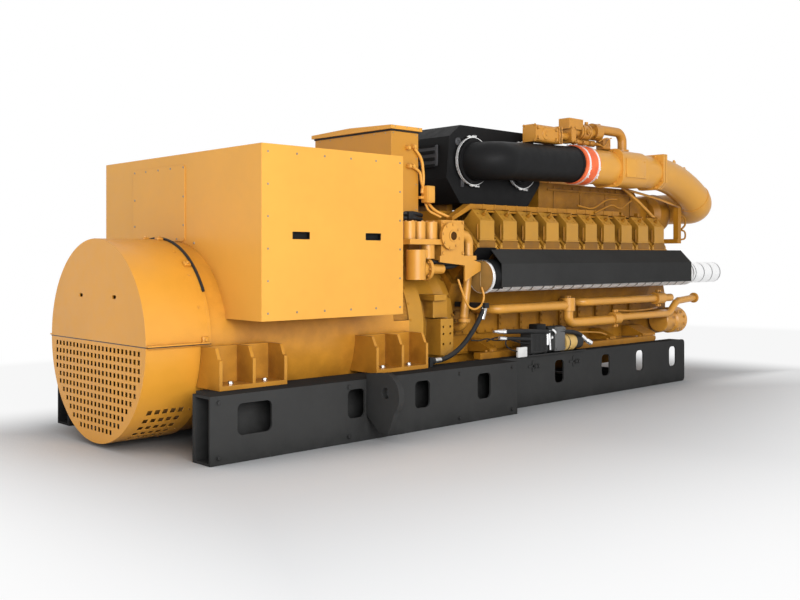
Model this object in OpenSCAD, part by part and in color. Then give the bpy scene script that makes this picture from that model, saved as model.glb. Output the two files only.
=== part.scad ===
// Gas generator set: a twenty-cylinder vee engine and an alternator on one steel base.
// Modelled in millimetres. +X runs from the alternator to the engine's free end, +Z is up,
// and the near side is -Y. Heights above the base are measured from the shaft line, and
// places along the engine from its first cylinder, so each group moves as one.

/* [Base frame] */
// Height of the base rails
rail_h = 365; // [320:5:420]
// Start of the rails, from the alternator's end
rail_start = 186; // [120:1:260]
// Length of the main rails
rail_len = 4969; // [4700:1:5300]
// Half the width over the main rails
rail_out = 766; // [740:1:820]
// Width of the rail flanges
rail_flange = 110; // [80:1:130]
// Thickness of the rail plates
rail_t = 14; // [8:1:20]
// Radius of the rails' corners at the engine's end
rail_corner = 35; // [10:1:60]
// Length of the outer box beams beside the alternator
beam_len = 2483; // [2200:1:2700]
// Width of the outer box beams
beam_w = 159; // [120:1:200]
// Width of a hand hole in the rails
slot_w = 112; // [80:1:140]
// Height of a hand hole in the rails
slot_h = 170; // [120:1:200]
// Corner radius of a hand hole
slot_r = 34; // [10:1:39]
// Radius of a lifting eye's bore
eye_bore_r = 32; // [20:1:45]
// Thickness of a lifting eye
eye_t = 40; // [30:1:60]

/* [Alternator] */
// Height of the shaft line
shaft_z = 612; // [610:1:740]
// Radius of the end drum
drum_r = 590; // [560:1:600]
// Length of the end drum
drum_len = 390; // [300:1:480]
// Sheet thickness of the end drum
drum_t = 8; // [4:1:12]
// Radius of the alternator barrel
barrel_r = 575; // [540:1:580]
// Length of the alternator barrel
barrel_len = 1570; // [1400:1:1800]
// Side of a square vent hole
vent_hole = 27; // [16:1:32]
// Spacing of the square vent holes
vent_pitch = 46.5; // [40:0.5:60]
// Length of an alternator foot
foot_len = 455; // [380:1:520]
// Half the width over the alternator feet
foot_out = 779; // [770:1:800]

/* [Terminal box] */
// Length of the terminal box
box_len = 1064; // [900:1:1200]
// Half the width of the terminal box
box_out = 911; // [800:1:950]
// Rise of the terminal box's underside over the shaft line
box_rise = 129; // [100:1:180]
// Height of the terminal box
box_h = 978; // [850:1:1100]
// Gap from the drum to the terminal box
box_gap = 130; // [100:1:170]
// Thickness of the removable panels
panel_t = 6; // [3:1:10]

/* [Control cabinet] */
// Length of the cabinet
cab_len = 258; // [200:1:320]
// Half the width of the cabinet
cab_out = 417; // [350:1:480]
// Rise of the cabinet's floor over the shaft line
cab_rise = 785; // [740:1:830]
// Height of the cabinet
cab_h = 573; // [450:1:650]

/* [Engine] */
// Cylinders in one bank
n_cyl = 10; // [8:1:10]
// Spacing of the cylinders
cyl_pitch = 250; // [240:1:300]
// Length of the flywheel housing
adapter_len = 490; // [420:1:560]
// Radius of the flywheel housing
adapter_r = 520; // [460:1:540]
// Distance of the cylinder deck from the shaft line
deck = 560; // [520:1:600]
// Height of a cylinder head over the deck
head_h = 312; // [280:1:330]
// Height of a rocker cover over its head
cover_h = 138; // [110:1:160]
// Half the width of a bank
bank_half = 150; // [130:1:160]
// Length of a rocker cover
cover_len = 150; // [120:1:180]

/* [Exhaust] */
// Radius of the wrapped exhaust manifold
manifold_r = 108; // [90:1:112]
// Distance of the manifolds from the centre plane
manifold_y = 678; // [670:1:684]
// Rise of the manifolds over the shaft line
manifold_rise = 338; // [330:1:350]
// Thickness of the heat shields
shield_t = 6; // [3:1:10]
// Radius of the exhaust bellows
bellows_r = 92; // [80:1:100]
// Length of an exhaust bellows
bellows_len = 505; // [400:1:540]

/* [Air intake] */
// Half the width of the air cleaner
cleaner_out = 420; // [380:1:440]
// Radius of the intake pipes
pipe_r = 142; // [118:1:150]
// Distance of the intake pipes from the centre plane
pipe_y = 620; // [610:1:640]
// Rise of the intake pipes over the shaft line
pipe_rise = 1214; // [1200:1:1250]
// Radius of an air cleaner collar
collar_r = 172; // [160:1:180]
// Sweep radius of the intake elbows
sweep_r = 1330; // [1200:10:1500]
// Fall angle of the intake elbows
sweep_a = 31.5; // [25:0.5:36]

/* [Hidden] */
$fn = 64;

yellow = "#e8a94a";
ochre = "#b98232";
black = "#3c3c3c";
bright = "#c9ccd0";
orange = "#ff6a45";

fit = 0.3;
s45 = sqrt(0.5);

// Stations along the set, from the alternator's end
box_x0 = drum_len + box_gap;
box_x1 = box_x0 + box_len;
barrel_x1 = drum_len + barrel_len;
block_x0 = barrel_x1 + adapter_len;
first_cyl = block_x0 + 172;
last_cyl = first_cyl + (n_cyl - 1) * cyl_pitch;
block_x1 = last_cyl + 190;
front_x1 = block_x1 + 330;
rail_end = rail_start + rail_len;
manifold_x0 = first_cyl - 42;
manifold_x1 = last_cyl + 418;
shield_x0 = first_cyl + 29;
shield_x1 = last_cyl + 344;
cleaner_x = first_cyl + 390;
coupling_x = first_cyl + 1078;
mixer_x = first_cyl + 1567;
elbow_x = last_cyl - 2;

// The intake elbow sweeps down by sweep_a, then turns in to the crossover pipe
turn_r = 150;
weld_w = 12;
pipe_z = shaft_z + pipe_rise;
sweep_end_x = elbow_x + sweep_r * sin(sweep_a);
sweep_end_z = pipe_z - sweep_r * (1 - cos(sweep_a));
cross_x = sweep_end_x + (turn_r + weld_w) * cos(sweep_a);
cross_z = sweep_end_z - (turn_r + weld_w) * sin(sweep_a);
cross_y = pipe_y - turn_r;
set_end = max(cross_x + pipe_r, manifold_x1 + bellows_len);
mid_x = set_end / 2;

// A point of the near bank: a is the distance along the cylinder axis, o outward across it
function bank_pt(a, o) = [-(a + o) * s45, shaft_z + (a - o) * s45];
function mirrored(p) = [-p[0], p[1]];
head_top = deck + head_h;
head_out = 110;
head_len = 236;
cover_top = head_top + cover_h;
cover_out = 688;
manifold_z = shaft_z + manifold_rise;
man_a = (manifold_y + manifold_rise) * s45;
man_o = (manifold_y - manifold_rise) * s45;

// Moves the set so that its middle is over the origin
module datum() { translate([-mid_x, 0, 0]) children(); }
module both_sides() { children(); mirror([0, 1, 0]) children(); }
module far_side() { mirror([0, 1, 0]) children(); }

// A profile drawn in y and z, run along x
module along_x(x0, len) {
    translate([x0, 0, 0]) rotate([90, 0, 90]) linear_extrude(len) children();
}
// A profile drawn in x and z, run along y
module along_y(y0, len) {
    translate([0, y0 + len, 0]) rotate([90, 0, 0]) linear_extrude(len) children();
}
module rod_x(x0, x1, y, z, r) { translate([x0, y, z]) rotate([0, 90, 0]) cylinder(h = x1 - x0, r = r); }
module rod_y(y0, y1, x, z, r) { translate([x, y0, z]) rotate([-90, 0, 0]) cylinder(h = y1 - y0, r = r); }
module rod_z(z0, z1, x, y, r) { translate([x, y, z0]) cylinder(h = z1 - z0, r = r); }
module block(x0, x1, y0, y1, z0, z1) {
    translate([x0, y0, z0]) cube([x1 - x0, y1 - y0, z1 - z0]);
}
module rounded_rect(w, h, r) {
    square([w - 2 * r, h], center = true);
    square([w, h - 2 * r], center = true);
    for (sx = [-1, 1], sy = [-1, 1])
        translate([sx * (w / 2 - r), sy * (h / 2 - r)]) circle(r);
}
// A turned body about an axis along x: each point is [distance along x, radius]
module turned_x(x0, y, z, profile) {
    translate([x0, y, z]) rotate([0, 90, 0]) rotate_extrude() polygon([for (p = profile) [p[1], p[0]]]);
}

// A round pipe through points, with a true bend of radius bend at each corner
function unit(v) = v / norm(v);
function turn_angle(a, b, c) = acos(max(-1, min(1, unit(b - a) * unit(c - b))));
function trim(p, i, bend) =
    (i == 0 || i == len(p) - 1) ? 0 : bend * tan(turn_angle(p[i - 1], p[i], p[i + 1]) / 2);
module straight(a, b, r) {
    v = b - a;
    if (norm(v) > 0.1)
        translate(a) rotate([0, acos(v[2] / norm(v)), atan2(v[1], v[0])]) cylinder(h = norm(v), r = r);
}
module bend_at(a, b, c, r, bend) {
    u = unit(b - a);
    v = unit(c - b);
    angle = turn_angle(a, b, c);
    start = b - u * bend * tan(angle / 2);
    inward = unit(v - u * (u * v));
    centre = start + inward * bend;
    e1 = -inward;
    e3 = cross(e1, u);
    multmatrix([[e1[0], u[0], e3[0], centre[0]], [e1[1], u[1], e3[1], centre[1]],
                [e1[2], u[2], e3[2], centre[2]], [0, 0, 0, 1]])
        rotate_extrude(angle = angle) translate([bend, 0]) circle(r);
}
module pipe_run(p, r, bend) {
    for (i = [0:len(p) - 2])
        straight(p[i] + unit(p[i + 1] - p[i]) * trim(p, i, bend),
                 p[i + 1] - unit(p[i + 1] - p[i]) * trim(p, i + 1, bend), r);
    for (i = [1:1:len(p) - 2])
        bend_at(p[i - 1], p[i], p[i + 1], r, bend);
}
// A run of straight pipe with a round weld bead at each slight corner
module mitred(p, r) {
    for (i = [0:len(p) - 2]) straight(p[i], p[i + 1], r);
    for (i = [1:1:len(p) - 2]) translate(p[i]) sphere(r + bead);
}
bead = 1.5;

// A hose whose centre line is a quadratic curve in a plane along x and z
function curve_pt(a, b, c, t) = a * (1 - t) * (1 - t) + b * 2 * t * (1 - t) + c * t * t;
function curve_dir(a, b, c, t) = unit((b - a) * (1 - t) + (c - b) * t);
module hose(a, b, c, r, rings, sides) {
    points = [for (i = [0:rings]) let (t = i / rings, p = curve_pt(a, b, c, t), d = curve_dir(a, b, c, t))
        for (k = [0:sides - 1]) let (w = 360 * k / sides)
            p + r * cos(w) * [-d[2], 0, d[0]] + r * sin(w) * [0, 1, 0]];
    walls = [for (i = [0:rings - 1], k = [0:sides - 1]) let (n = (k + 1) % sides)
        [i * sides + k, i * sides + n, (i + 1) * sides + n, (i + 1) * sides + k]];
    start = [for (k = [sides - 1:-1:0]) k];
    end = [for (k = [0:sides - 1]) rings * sides + k];
    polyhedron(points, concat(walls, [start, end]), convexity = 4);
}

// ---- Base frame ----
// Channel rails: the web stands outside and the flanges turn in
flange_gap = 80;
slot_z = 228;
front_slots = [first_cyl + 734, first_cyl + 1337, first_cyl + 1826, rail_end - 195];
beam_slots = [468, 1190, 1741, 2323];
wide_slot = 113;
module rail_web() translate([rail_start, 0]) {
    square([rail_len - rail_corner, rail_h]);
    translate([0, rail_corner]) square([rail_len, rail_h - 2 * rail_corner]);
    for (z = [rail_corner, rail_h - rail_corner]) translate([rail_len - rail_corner, z]) circle(rail_corner);
}
module main_rail_near() color(black) datum() difference() {
    union() {
        along_y(-rail_out, rail_t) rail_web();
        for (z = [0, rail_h - rail_t])
            block(rail_start + flange_gap, rail_end - 2 * rail_corner, -rail_out, -rail_out + rail_flange,
                  z, z + rail_t);
    }
    for (x = front_slots)
        along_y(-rail_out - 1, rail_t + 2) translate([x, slot_z]) rounded_rect(slot_w, slot_h, slot_r);
}
module main_rail_far() far_side() main_rail_near();

beam_end = rail_start + beam_len;
module outer_beam_near() color(black) datum() difference() {
    block(rail_start, beam_end, -rail_out - beam_w, -rail_out, 0, rail_h);
    block(rail_start - 1, beam_end - rail_t, -rail_out - beam_w + rail_t, -rail_out - rail_t,
          rail_t, rail_h - rail_t);
    for (x = beam_slots)
        along_y(-rail_out - beam_w - 1, rail_t + 2) translate([x, slot_z])
            rounded_rect(slot_w + (x == beam_slots[0] ? wide_slot : 20), slot_h, slot_r);
}
module outer_beam_far() far_side() outer_beam_near();

// Channel cross members between the main rails, under the shaft line
cross_w = 100;
cross_h = shaft_z - adapter_r - rail_t - 8;
cross_stations = [barrel_x1 + 200, first_cyl + 700, first_cyl + 1450, rail_end - 365];
module cross_members() color(black) datum()
    for (x = cross_stations) difference() {
        block(x, x + cross_w, -rail_out + rail_t, rail_out - rail_t, rail_t, rail_t + cross_h);
        block(x + rail_t, x + cross_w + 1, -rail_out, rail_out, 2 * rail_t, cross_h);
    }

// Lifting eyes on the outer beams: a round lug on a tapered web
eye_x = 1270;
eye_y = rail_out + beam_w;
eye_reach = 168;
eye_z = 296;
module lifting_eyes() color(black) datum() both_sides() along_x(eye_x, eye_t) difference() {
    union() {
        translate([-eye_y - 153, 282]) circle(132);
        polygon([[-eye_y, 398], [-eye_y - 153, 414], [-eye_y - 285, 282],
                 [-eye_y - 190, 62], [-eye_y - 105, 62], [-eye_y, 150]]);
    }
    translate([-eye_y - eye_reach, eye_z]) circle(eye_bore_r);
}

// ---- Alternator ----
// The end drum is two sheet halves that meet at a seam flange on the shaft line
seam_w = 24;
pull_slots = [183, -231];
pull_slot_z = shaft_z + 258;
module drum_shell(x0, x1) {
    difference() {
        rod_x(x0, x1, 0, shaft_z, drum_r);
        rod_x(x0 - 1, x1 + 1, 0, shaft_z, drum_r - drum_t);
    }
}
module seam_flange(x0, z0) {
    difference() {
        block(x0, drum_len, -drum_r - seam_w, drum_r + seam_w, z0, z0 + drum_t);
        block(max(x0, drum_t) - (x0 > 0 ? 1 : 0), drum_len + 1, -drum_r + drum_t / 2, drum_r - drum_t / 2,
              z0 - 1, z0 + drum_t + 1);
    }
}
module end_shroud() color(yellow) datum() difference() {
    intersection() {
        union() {
            drum_shell(0, drum_len);
            rod_x(0, drum_t, 0, shaft_z, drum_r);
            seam_flange(0, shaft_z);
        }
        block(-1, drum_len + 1, -drum_r * 2, drum_r * 2, shaft_z, shaft_z + drum_r * 2);
    }
    for (y = pull_slots) along_x(-1, drum_t + 2) translate([y, pull_slot_z]) rounded_rect(44, 20, 8);
}
side_rows = [50.3, 43.3, 36.3, 29.3, 22.3];
side_pitch = 48.7;
side_holes = 5;
module lower_shroud() color(yellow) datum() difference() {
    intersection() {
        union() {
            drum_shell(drum_t, drum_len);
            seam_flange(drum_t, shaft_z - drum_t);
        }
        block(0, drum_len + 1, -drum_r * 2, drum_r * 2, shaft_z - drum_r * 2, shaft_z);
    }
    for (a = side_rows, i = [0:side_holes - 1], side = [-1, 1])
        translate([95 + i * side_pitch, 0, shaft_z]) rotate([side * a, 0, 0])
            translate([0, 0, -drum_r]) cube([30, 38, 3 * drum_t], center = true);
}

// The lower half of the drum's end is a sheet with rows of square holes inside the round rim
vent_rows = 11;
vent_cols = 23;
vent_edge = 26;
vent_top = 41;
module vent_screen() color(yellow) datum() along_x(0, drum_t) difference() {
    intersection() {
        translate([0, shaft_z]) circle(drum_r);
        translate([-drum_r, shaft_z - drum_r]) square([2 * drum_r, drum_r]);
    }
    for (r = [0:vent_rows - 1], c = [0:vent_cols - 1]) {
        y = (c - (vent_cols - 1) / 2) * vent_pitch;
        z = -vent_top - r * vent_pitch;
        if (norm([abs(y) + vent_hole / 2, abs(z) + vent_hole / 2]) < drum_r - vent_edge)
            translate([y, shaft_z + z]) square(vent_hole, center = true);
    }
}

// A barrel with an end ring and, at the coupling end, a guarded opening on each side
guard_len = 140;
guard_z0 = 56;
guard_z1 = 296;
guard_depth = 30;
module alternator_barrel() color(yellow) datum() {
    difference() {
        rod_x(drum_len, barrel_x1, 0, shaft_z, barrel_r);
        both_sides() along_x(barrel_x1 - guard_len, guard_len + 1) difference() {
            translate([-barrel_r, shaft_z + guard_z0]) square([barrel_r, guard_z1 - guard_z0]);
            translate([0, shaft_z]) circle(barrel_r - guard_depth);
        }
    }
    rod_x(drum_len, drum_len + 16, 0, shaft_z, drum_r);
}

// Each foot is a base plate with three ribs and an inner web, cut to the barrel
foot_gap = 1144;
foot_x0 = drum_len - 53;
foot_t = 25;
foot_rib = 20;
foot_in = barrel_r - 80;
foot_top = shaft_z - 17;
module alternator_foot(x0) difference() {
    union() {
        block(x0, x0 + foot_len, -foot_out, -foot_in, rail_h, rail_h + foot_t);
        block(x0, x0 + foot_len, -drum_r - 30, -drum_r - 10, rail_h, foot_top);
        for (x = [x0, x0 + foot_len / 2 - foot_rib / 2, x0 + foot_len - foot_rib])
            along_x(x, foot_rib) polygon([[-foot_in, rail_h], [-foot_out, rail_h], [-foot_out, foot_top - 66],
                [-foot_out + 16, foot_top - 60], [-foot_out + 45, foot_top], [-foot_in, foot_top]]);
    }
    rod_x(drum_len - 1, barrel_x1 + 1, 0, shaft_z, barrel_r + fit);
    rod_x(-1, drum_len + 17, 0, shaft_z, drum_r + 4);
}
module alternator_feet() color(yellow) datum() both_sides()
    for (x = [foot_x0, foot_x0 + foot_gap]) alternator_foot(x);

// ---- Terminal box ----
box_z0 = shaft_z + box_rise;
box_z1 = box_z0 + box_h;
access_z0 = shaft_z + barrel_r + 3;
access_z1 = box_z0 + 912;
grip_x = [272, 817];
grip_z = box_z0 + 474.5;
grip_w = 124;
grip_h = 43;
grip_depth = 30;
module terminal_box() color(yellow) datum() difference() {
    block(box_x0, box_x1, -box_out + panel_t, box_out - panel_t, box_z0, box_z1);
    both_sides() for (g = grip_x)
        translate([box_x0 + g, -box_out, grip_z]) cube([grip_w, 2 * grip_depth, grip_h], center = true);
    rod_x(box_x0 - 1, box_x1 + 1, 0, shaft_z, barrel_r + fit);
}
module box_side_panels() color(yellow) datum() both_sides() difference() {
    block(box_x0, box_x1, -box_out, -box_out + panel_t, box_z0, box_z1);
    for (g = grip_x)
        translate([box_x0 + g, -box_out, grip_z]) cube([grip_w, 3 * panel_t, grip_h], center = true);
}
module box_access_panel() color(yellow) datum()
    along_x(box_x0 - panel_t, panel_t) translate([202, (access_z0 + access_z1) / 2])
        rounded_rect(643, access_z1 - access_z0, 28);

// ---- Control cabinet and flywheel housing ----
cab_x0 = barrel_x1 - 19;
cab_x1 = cab_x0 + cab_len;
cab_z0 = shaft_z + cab_rise;
cab_z1 = cab_z0 + cab_h;
lid_over = 20;
module control_cabinet() color(yellow) datum()
    block(cab_x0, cab_x1, -cab_out, cab_out, cab_z0, cab_z1);
module cabinet_lid() color(yellow) datum()
    along_x(cab_x0 - lid_over, cab_len + 2 * lid_over) polygon([[-cab_out - lid_over, cab_z1],
        [-cab_out - lid_over, cab_z1 + 26], [0, cab_z1 + 40], [cab_out + lid_over, cab_z1 + 26],
        [cab_out + lid_over, cab_z1]]);

// A bolted ring, a waisted bell and a rim that meets the engine
ring_w = 135;
waist_r = adapter_r - 40;
module flywheel_body(gap, $fn = 240) turned_x(barrel_x1, 0, shaft_z, [[0, 0], [0, barrel_r + gap],
    [ring_w + gap, barrel_r + gap], [ring_w + gap, adapter_r + gap], [ring_w + 60, waist_r + gap],
    [adapter_len - 110, waist_r + gap], [adapter_len - 60, adapter_r + gap],
    [adapter_len, adapter_r + gap], [adapter_len, 0]]);
pad_x = barrel_x1 + 257;
pad_w = 124;
pad_z0 = shaft_z - 197;
pad_y = 620;
module mounting_pad() difference() {
    block(pad_x, pad_x + pad_w, -pad_y, -waist_r + 90, pad_z0, pad_z0 + 250);
    for (x = [27, 95], z = [77, 147, 196]) rod_y(-pad_y - 1, -pad_y + 24, pad_x + x, pad_z0 + z, 9);
}
module flywheel_housing() color(ochre) datum() {
    flywheel_body(0);
    both_sides() {
        mounting_pad();
        block(pad_x - 15, pad_x + pad_w + 2, -560, -waist_r + 120, shaft_z + 60, shaft_z + 180);
        block(pad_x - 30, pad_x + 88, -590, -waist_r + 160, shaft_z + 180, shaft_z + 221);
    }
}
stand_legs = [-330, 250];
leg_w = 80;
leg_t = 12;
module cabinet_stand() color(ochre) datum() difference() {
    union() {
        for (y = stand_legs)
            block(barrel_x1 + 50, cab_x1 - 10, y, y + leg_w, shaft_z, cab_z0 - 20);
        block(cab_x0 + 15, cab_x1 - 5, -cab_out + 20, cab_out - 20, cab_z0 - 20, cab_z0);
    }
    for (y = stand_legs)
        block(barrel_x1 + 50 + leg_t, cab_x1 - 9, y + leg_t, y + leg_w - leg_t, shaft_z, cab_z0 - 40);
    flywheel_body(fit);
}

// ---- Engine block ----
// A deep-skirted vee block; the decks stand square to the cylinder axes
skirt = 430;
skirt_z0 = shaft_z - 212;
skirt_z1 = shaft_z + 108;
valley = 150;
valley_z = shaft_z + 368;
module crankcase() color(ochre) datum()
    along_x(block_x0, block_x1 - block_x0) polygon([
        [-skirt, skirt_z0], [-skirt, skirt_z1], bank_pt(deck, bank_half), bank_pt(deck, -bank_half),
        [-valley, valley_z], [valley, valley_z], mirrored(bank_pt(deck, -bank_half)),
        mirrored(bank_pt(deck, bank_half)), [skirt, skirt_z1], [skirt, skirt_z0]]);
pan_w = 370;
pan_z0 = shaft_z - 462;
module oil_pan() color(ochre) datum()
    along_x(block_x0 + 60, block_x1 - block_x0 - 120) polygon([
        [-skirt + 10, skirt_z0], [-skirt + 10, skirt_z0 - 15], [-pan_w, skirt_z0 - 15],
        [-pan_w, pan_z0 + 110], [-pan_w + 120, pan_z0], [pan_w - 120, pan_z0], [pan_w, pan_z0 + 110],
        [pan_w, skirt_z0 - 15], [skirt - 10, skirt_z0 - 15], [skirt - 10, skirt_z0]]);

// A long foot plate on each rail, with feet that stand against the skirt
mount_out = 664;
mount_x1 = last_cyl - 16;
mount_t = 45;
mount_feet = [first_cyl + 74, first_cyl + 824, first_cyl + 1574, last_cyl - 189];
foot_w = 78;
module engine_rails() color(ochre) datum() both_sides() {
    along_y(-mount_out, 64) {
        translate([first_cyl - 47, rail_h]) square([mount_x1 - first_cyl + 47 - mount_t / 2, mount_t]);
        translate([mount_x1 - mount_t / 2, rail_h + mount_t / 2]) circle(mount_t / 2);
    }
    for (x = mount_feet) along_x(x, x == mount_feet[3] ? 2.5 * foot_w : foot_w) polygon([
        [-mount_out + 20, rail_h + mount_t], [-mount_out + 20, rail_h + mount_t + 22],
        [-skirt - 60, skirt_z0 + 95], [-skirt, skirt_z0 + 95], [-skirt, skirt_z0],
        [-mount_out + 64, rail_h + mount_t]]);
}
door_w = 190;
door_z0 = shaft_z - 84;
module crankcase_doors() color(ochre) datum() both_sides()
    for (i = [0:n_cyl - 1]) along_y(-skirt - 18, 18)
        translate([first_cyl + i * cyl_pitch, door_z0 + 85]) rounded_rect(door_w, 170, 20);

// ---- Cylinder heads and covers ----
module cylinder_heads_near() color(ochre) datum()
    for (i = [0:n_cyl - 1])
        along_x(first_cyl + i * cyl_pitch - head_len / 2, head_len) polygon([
            bank_pt(deck, -bank_half), bank_pt(deck, head_out), bank_pt(head_top, head_out),
            bank_pt(head_top, -bank_half)]);
module cylinder_heads_far() far_side() cylinder_heads_near();

// Canted covers: the top lies square to the cylinder, the outer face stands upright
function front_o(a) = cover_out / s45 - a;
flange_h = 16;
flange_len = 214;
module rocker_covers_near() color(yellow) datum()
    for (i = [0:n_cyl - 1]) translate([first_cyl + i * cyl_pitch, 0, 0]) {
        along_x(-cover_len / 2, cover_len) polygon([
            bank_pt(head_top, -bank_half), bank_pt(cover_top, -bank_half),
            bank_pt(cover_top, front_o(cover_top)), bank_pt(head_top, front_o(head_top))]);
        along_x(-flange_len / 2, flange_len) polygon([
            bank_pt(head_top, -bank_half), bank_pt(head_top + flange_h, -bank_half),
            bank_pt(head_top + flange_h, front_o(head_top + flange_h)),
            bank_pt(head_top, front_o(head_top))]);
    }
module rocker_covers_far() far_side() rocker_covers_near();

// ---- Exhaust ----
// The lagged manifold takes one branch from each head
module exhaust_manifold_near() color(bright) datum() {
    rod_x(manifold_x0, manifold_x1, -manifold_y, manifold_z, manifold_r);
    rod_x(manifold_x0 - 6, manifold_x0 + 8, -manifold_y, manifold_z, manifold_r + 10);
    for (i = [0:n_cyl - 1])
        translate([first_cyl + i * cyl_pitch, bank_pt(man_a, head_out)[0], bank_pt(man_a, head_out)[1]])
            rotate([135, 0, 0]) cylinder(h = man_o - head_out, r = 48);
}
module exhaust_manifold_far() far_side() exhaust_manifold_near();

// A folded sheet hangs from the heads' outer edge in front of the manifold
shield_out = 800;
shield_z0 = shaft_z + 267;
module heat_shield_near() color(black) datum()
    along_x(shield_x0, shield_x1 - shield_x0) polygon([
        bank_pt(head_top, head_out), bank_pt(head_top, shield_out / s45 - head_top),
        [-shield_out, shield_z0], [-shield_out + shield_t, shield_z0],
        bank_pt(head_top - shield_t, (shield_out - shield_t) / s45 - head_top + shield_t),
        bank_pt(head_top - shield_t, head_out)]);
module heat_shield_far() far_side() heat_shield_near();

// Thin bellows: long folds, a narrow groove between each two
bellows_bore = 66;
groove_w = 12;
grooves = 4;
groove_depth = 14;
first_groove = 61;
last_groove = bellows_len - 15;
groove_pitch = (last_groove - first_groove) / (grooves - 1);
function fold_end(i) = i == grooves ? bellows_len : first_groove + i * groove_pitch - groove_w / 2;
function fold_start(i) = i == 0 ? 0 : first_groove + (i - 1) * groove_pitch + groove_w / 2;
module exhaust_bellows() color(bright) datum() both_sides() difference() {
    union() {
        rod_x(manifold_x1, manifold_x1 + bellows_len, -manifold_y, manifold_z, bellows_r - groove_depth);
        for (i = [0:grooves])
            rod_x(manifold_x1 + fold_start(i), manifold_x1 + fold_end(i), -manifold_y, manifold_z, bellows_r);
    }
    rod_x(manifold_x1 - 1, manifold_x1 + bellows_len + 1, -manifold_y, manifold_z, bellows_bore);
}

// ---- Charge air ----
plenum_z1 = valley_z + 320;
module charge_plenum() color(ochre) datum() {
    along_x(block_x0 + 20, last_cyl - first_cyl + 212) polygon([
        [-valley, valley_z], [-230, valley_z + 200], [-230, plenum_z1], [230, plenum_z1],
        [230, valley_z + 200], [valley, valley_z]]);
    block(block_x0 + 20, first_cyl + 50, -350, 350, plenum_z1, plenum_z1 + 130);
}
cooler_x0 = first_cyl + 940;
cooler_x1 = last_cyl + 30;
module charge_cooler() color(ochre) datum()
    along_y(-400, 800) polygon([[cooler_x0 + 110, plenum_z1], [cooler_x0, plenum_z1 + 120],
        [cooler_x0, plenum_z1 + 390], [cooler_x1, plenum_z1 + 390], [cooler_x1 + 120, plenum_z1 + 260],
        [cooler_x1 + 120, plenum_z1]]);

// ---- Air cleaner and intake ----
cleaner_z0 = shaft_z + 874;
cleaner_z1 = shaft_z + 1448;
cleaner_rise = cleaner_z1 - cleaner_z0;
collar_gap = 280;
collar_y = cleaner_out + 40;
collar_z = pipe_z - 28;
module cleaner_outline() translate([cleaner_x, cleaner_z0]) polygon([
    [-386, 0], [-530, 179], [-500, cleaner_rise - 90], [-385, cleaner_rise], [385, cleaner_rise],
    [450, cleaner_rise - 45], [540, cleaner_rise - 210], [540, 179], [386, 0]]);
module air_cleaner() color(black) datum() {
    along_y(-cleaner_out, 2 * cleaner_out) cleaner_outline();
    both_sides() for (s = [-1, 1])
        rod_y(-collar_y, -cleaner_out, cleaner_x + s * collar_gap, collar_z, collar_r);
    for (z = [-300, -250, -200, -150])
        block(cleaner_x - 538, cleaner_x - 480, -300, 300, cleaner_z1 + z - 11, cleaner_z1 + z + 11);
}
stand_x = [-330, 270];
module air_cleaner_stand() color(ochre) datum()
    for (s = stand_x) let (x = cleaner_x + s) difference() {
        block(x, x + 60, -230, 230, s < 0 ? plenum_z1 + 130 : plenum_z1, cleaner_z0);
        block(x - 1, x + 61, -170, 170, plenum_z1 - 1, cleaner_z0 - 40);
    }
duct_lip = 14;
duct_bend = pipe_y - collar_y - duct_lip;
coupling_len = 185;
sleeve_t = 12;
duct_end = coupling_x + coupling_len / 2;
duct_x = coupling_x - 6;
duct_first = cleaner_x - collar_gap;
duct_tilt = atan2(pipe_z - collar_z, duct_x - duct_first - duct_bend);
cuff = 4;
// The duct runs up slightly to its coupling: it is drawn level, from its own end, then tilted
module duct_body() {
    len = (duct_x - duct_first - duct_bend) / cos(duct_tilt);
    second = duct_x - cleaner_x - collar_gap;
    rod_x(-len, 0, 0, 0, pipe_r);
    rod_x(-20, 0, 0, 0, pipe_r + cuff);
    bend_at([-len - duct_bend, duct_bend, 0], [-len - duct_bend, 0, 0], [-len, 0, 0], pipe_r, duct_bend);
    rod_y(0, duct_bend + duct_lip, -second, -second * tan(duct_tilt) / 2, pipe_r - 8);
    for (x = [-len - duct_bend, -second]) rod_y(duct_bend, duct_bend + duct_lip, x, 0, collar_r - 8);
}
module intake_ducts() color(black) datum() both_sides() {
    translate([duct_x, -pipe_y, pipe_z]) rotate([0, -duct_tilt, 0]) duct_body();
    rod_x(coupling_x - 1, duct_end, -pipe_y, pipe_z, pipe_r);
}
module duct_couplings() color(orange) datum() both_sides() difference() {
    rod_x(coupling_x, coupling_x + coupling_len, -pipe_y, pipe_z, pipe_r + sleeve_t);
    rod_x(coupling_x - 1, coupling_x + coupling_len + 1, -pipe_y, pipe_z, pipe_r + fit);
}

// The pipe carries a square gas mixer, then a pair of square flanges at the elbow
mixer_len = 391;
mixer_w = 300;
flange_x = elbow_x - 64;
module square_flange(x0, t) along_x(x0, t) translate([-pipe_y, pipe_z]) difference() {
    square(mixer_w + 2, center = true);
    for (sy = [-1, 1]) translate([sy * mixer_w / 2, -mixer_w / 2]) rotate(45) square(80, center = true);
}
module intake_pipes() color(yellow) datum() both_sides() {
    rod_x(duct_end + 4, elbow_x, -pipe_y, pipe_z, pipe_r);
    along_x(mixer_x, mixer_len) translate([-pipe_y, pipe_z]) rounded_rect(mixer_w, mixer_w, 110);
    along_x(mixer_x, 12) translate([-pipe_y, pipe_z]) rounded_rect(mixer_w + 14, mixer_w + 14, 80);
    square_flange(flange_x, 26);
    square_flange(flange_x + 34, 26);
}
sweep_end = [sweep_end_x, -pipe_y, sweep_end_z];
cross_corner = [cross_x, -pipe_y, cross_z];
weld_end = sweep_end + unit(cross_corner - sweep_end) * weld_w;
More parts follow.
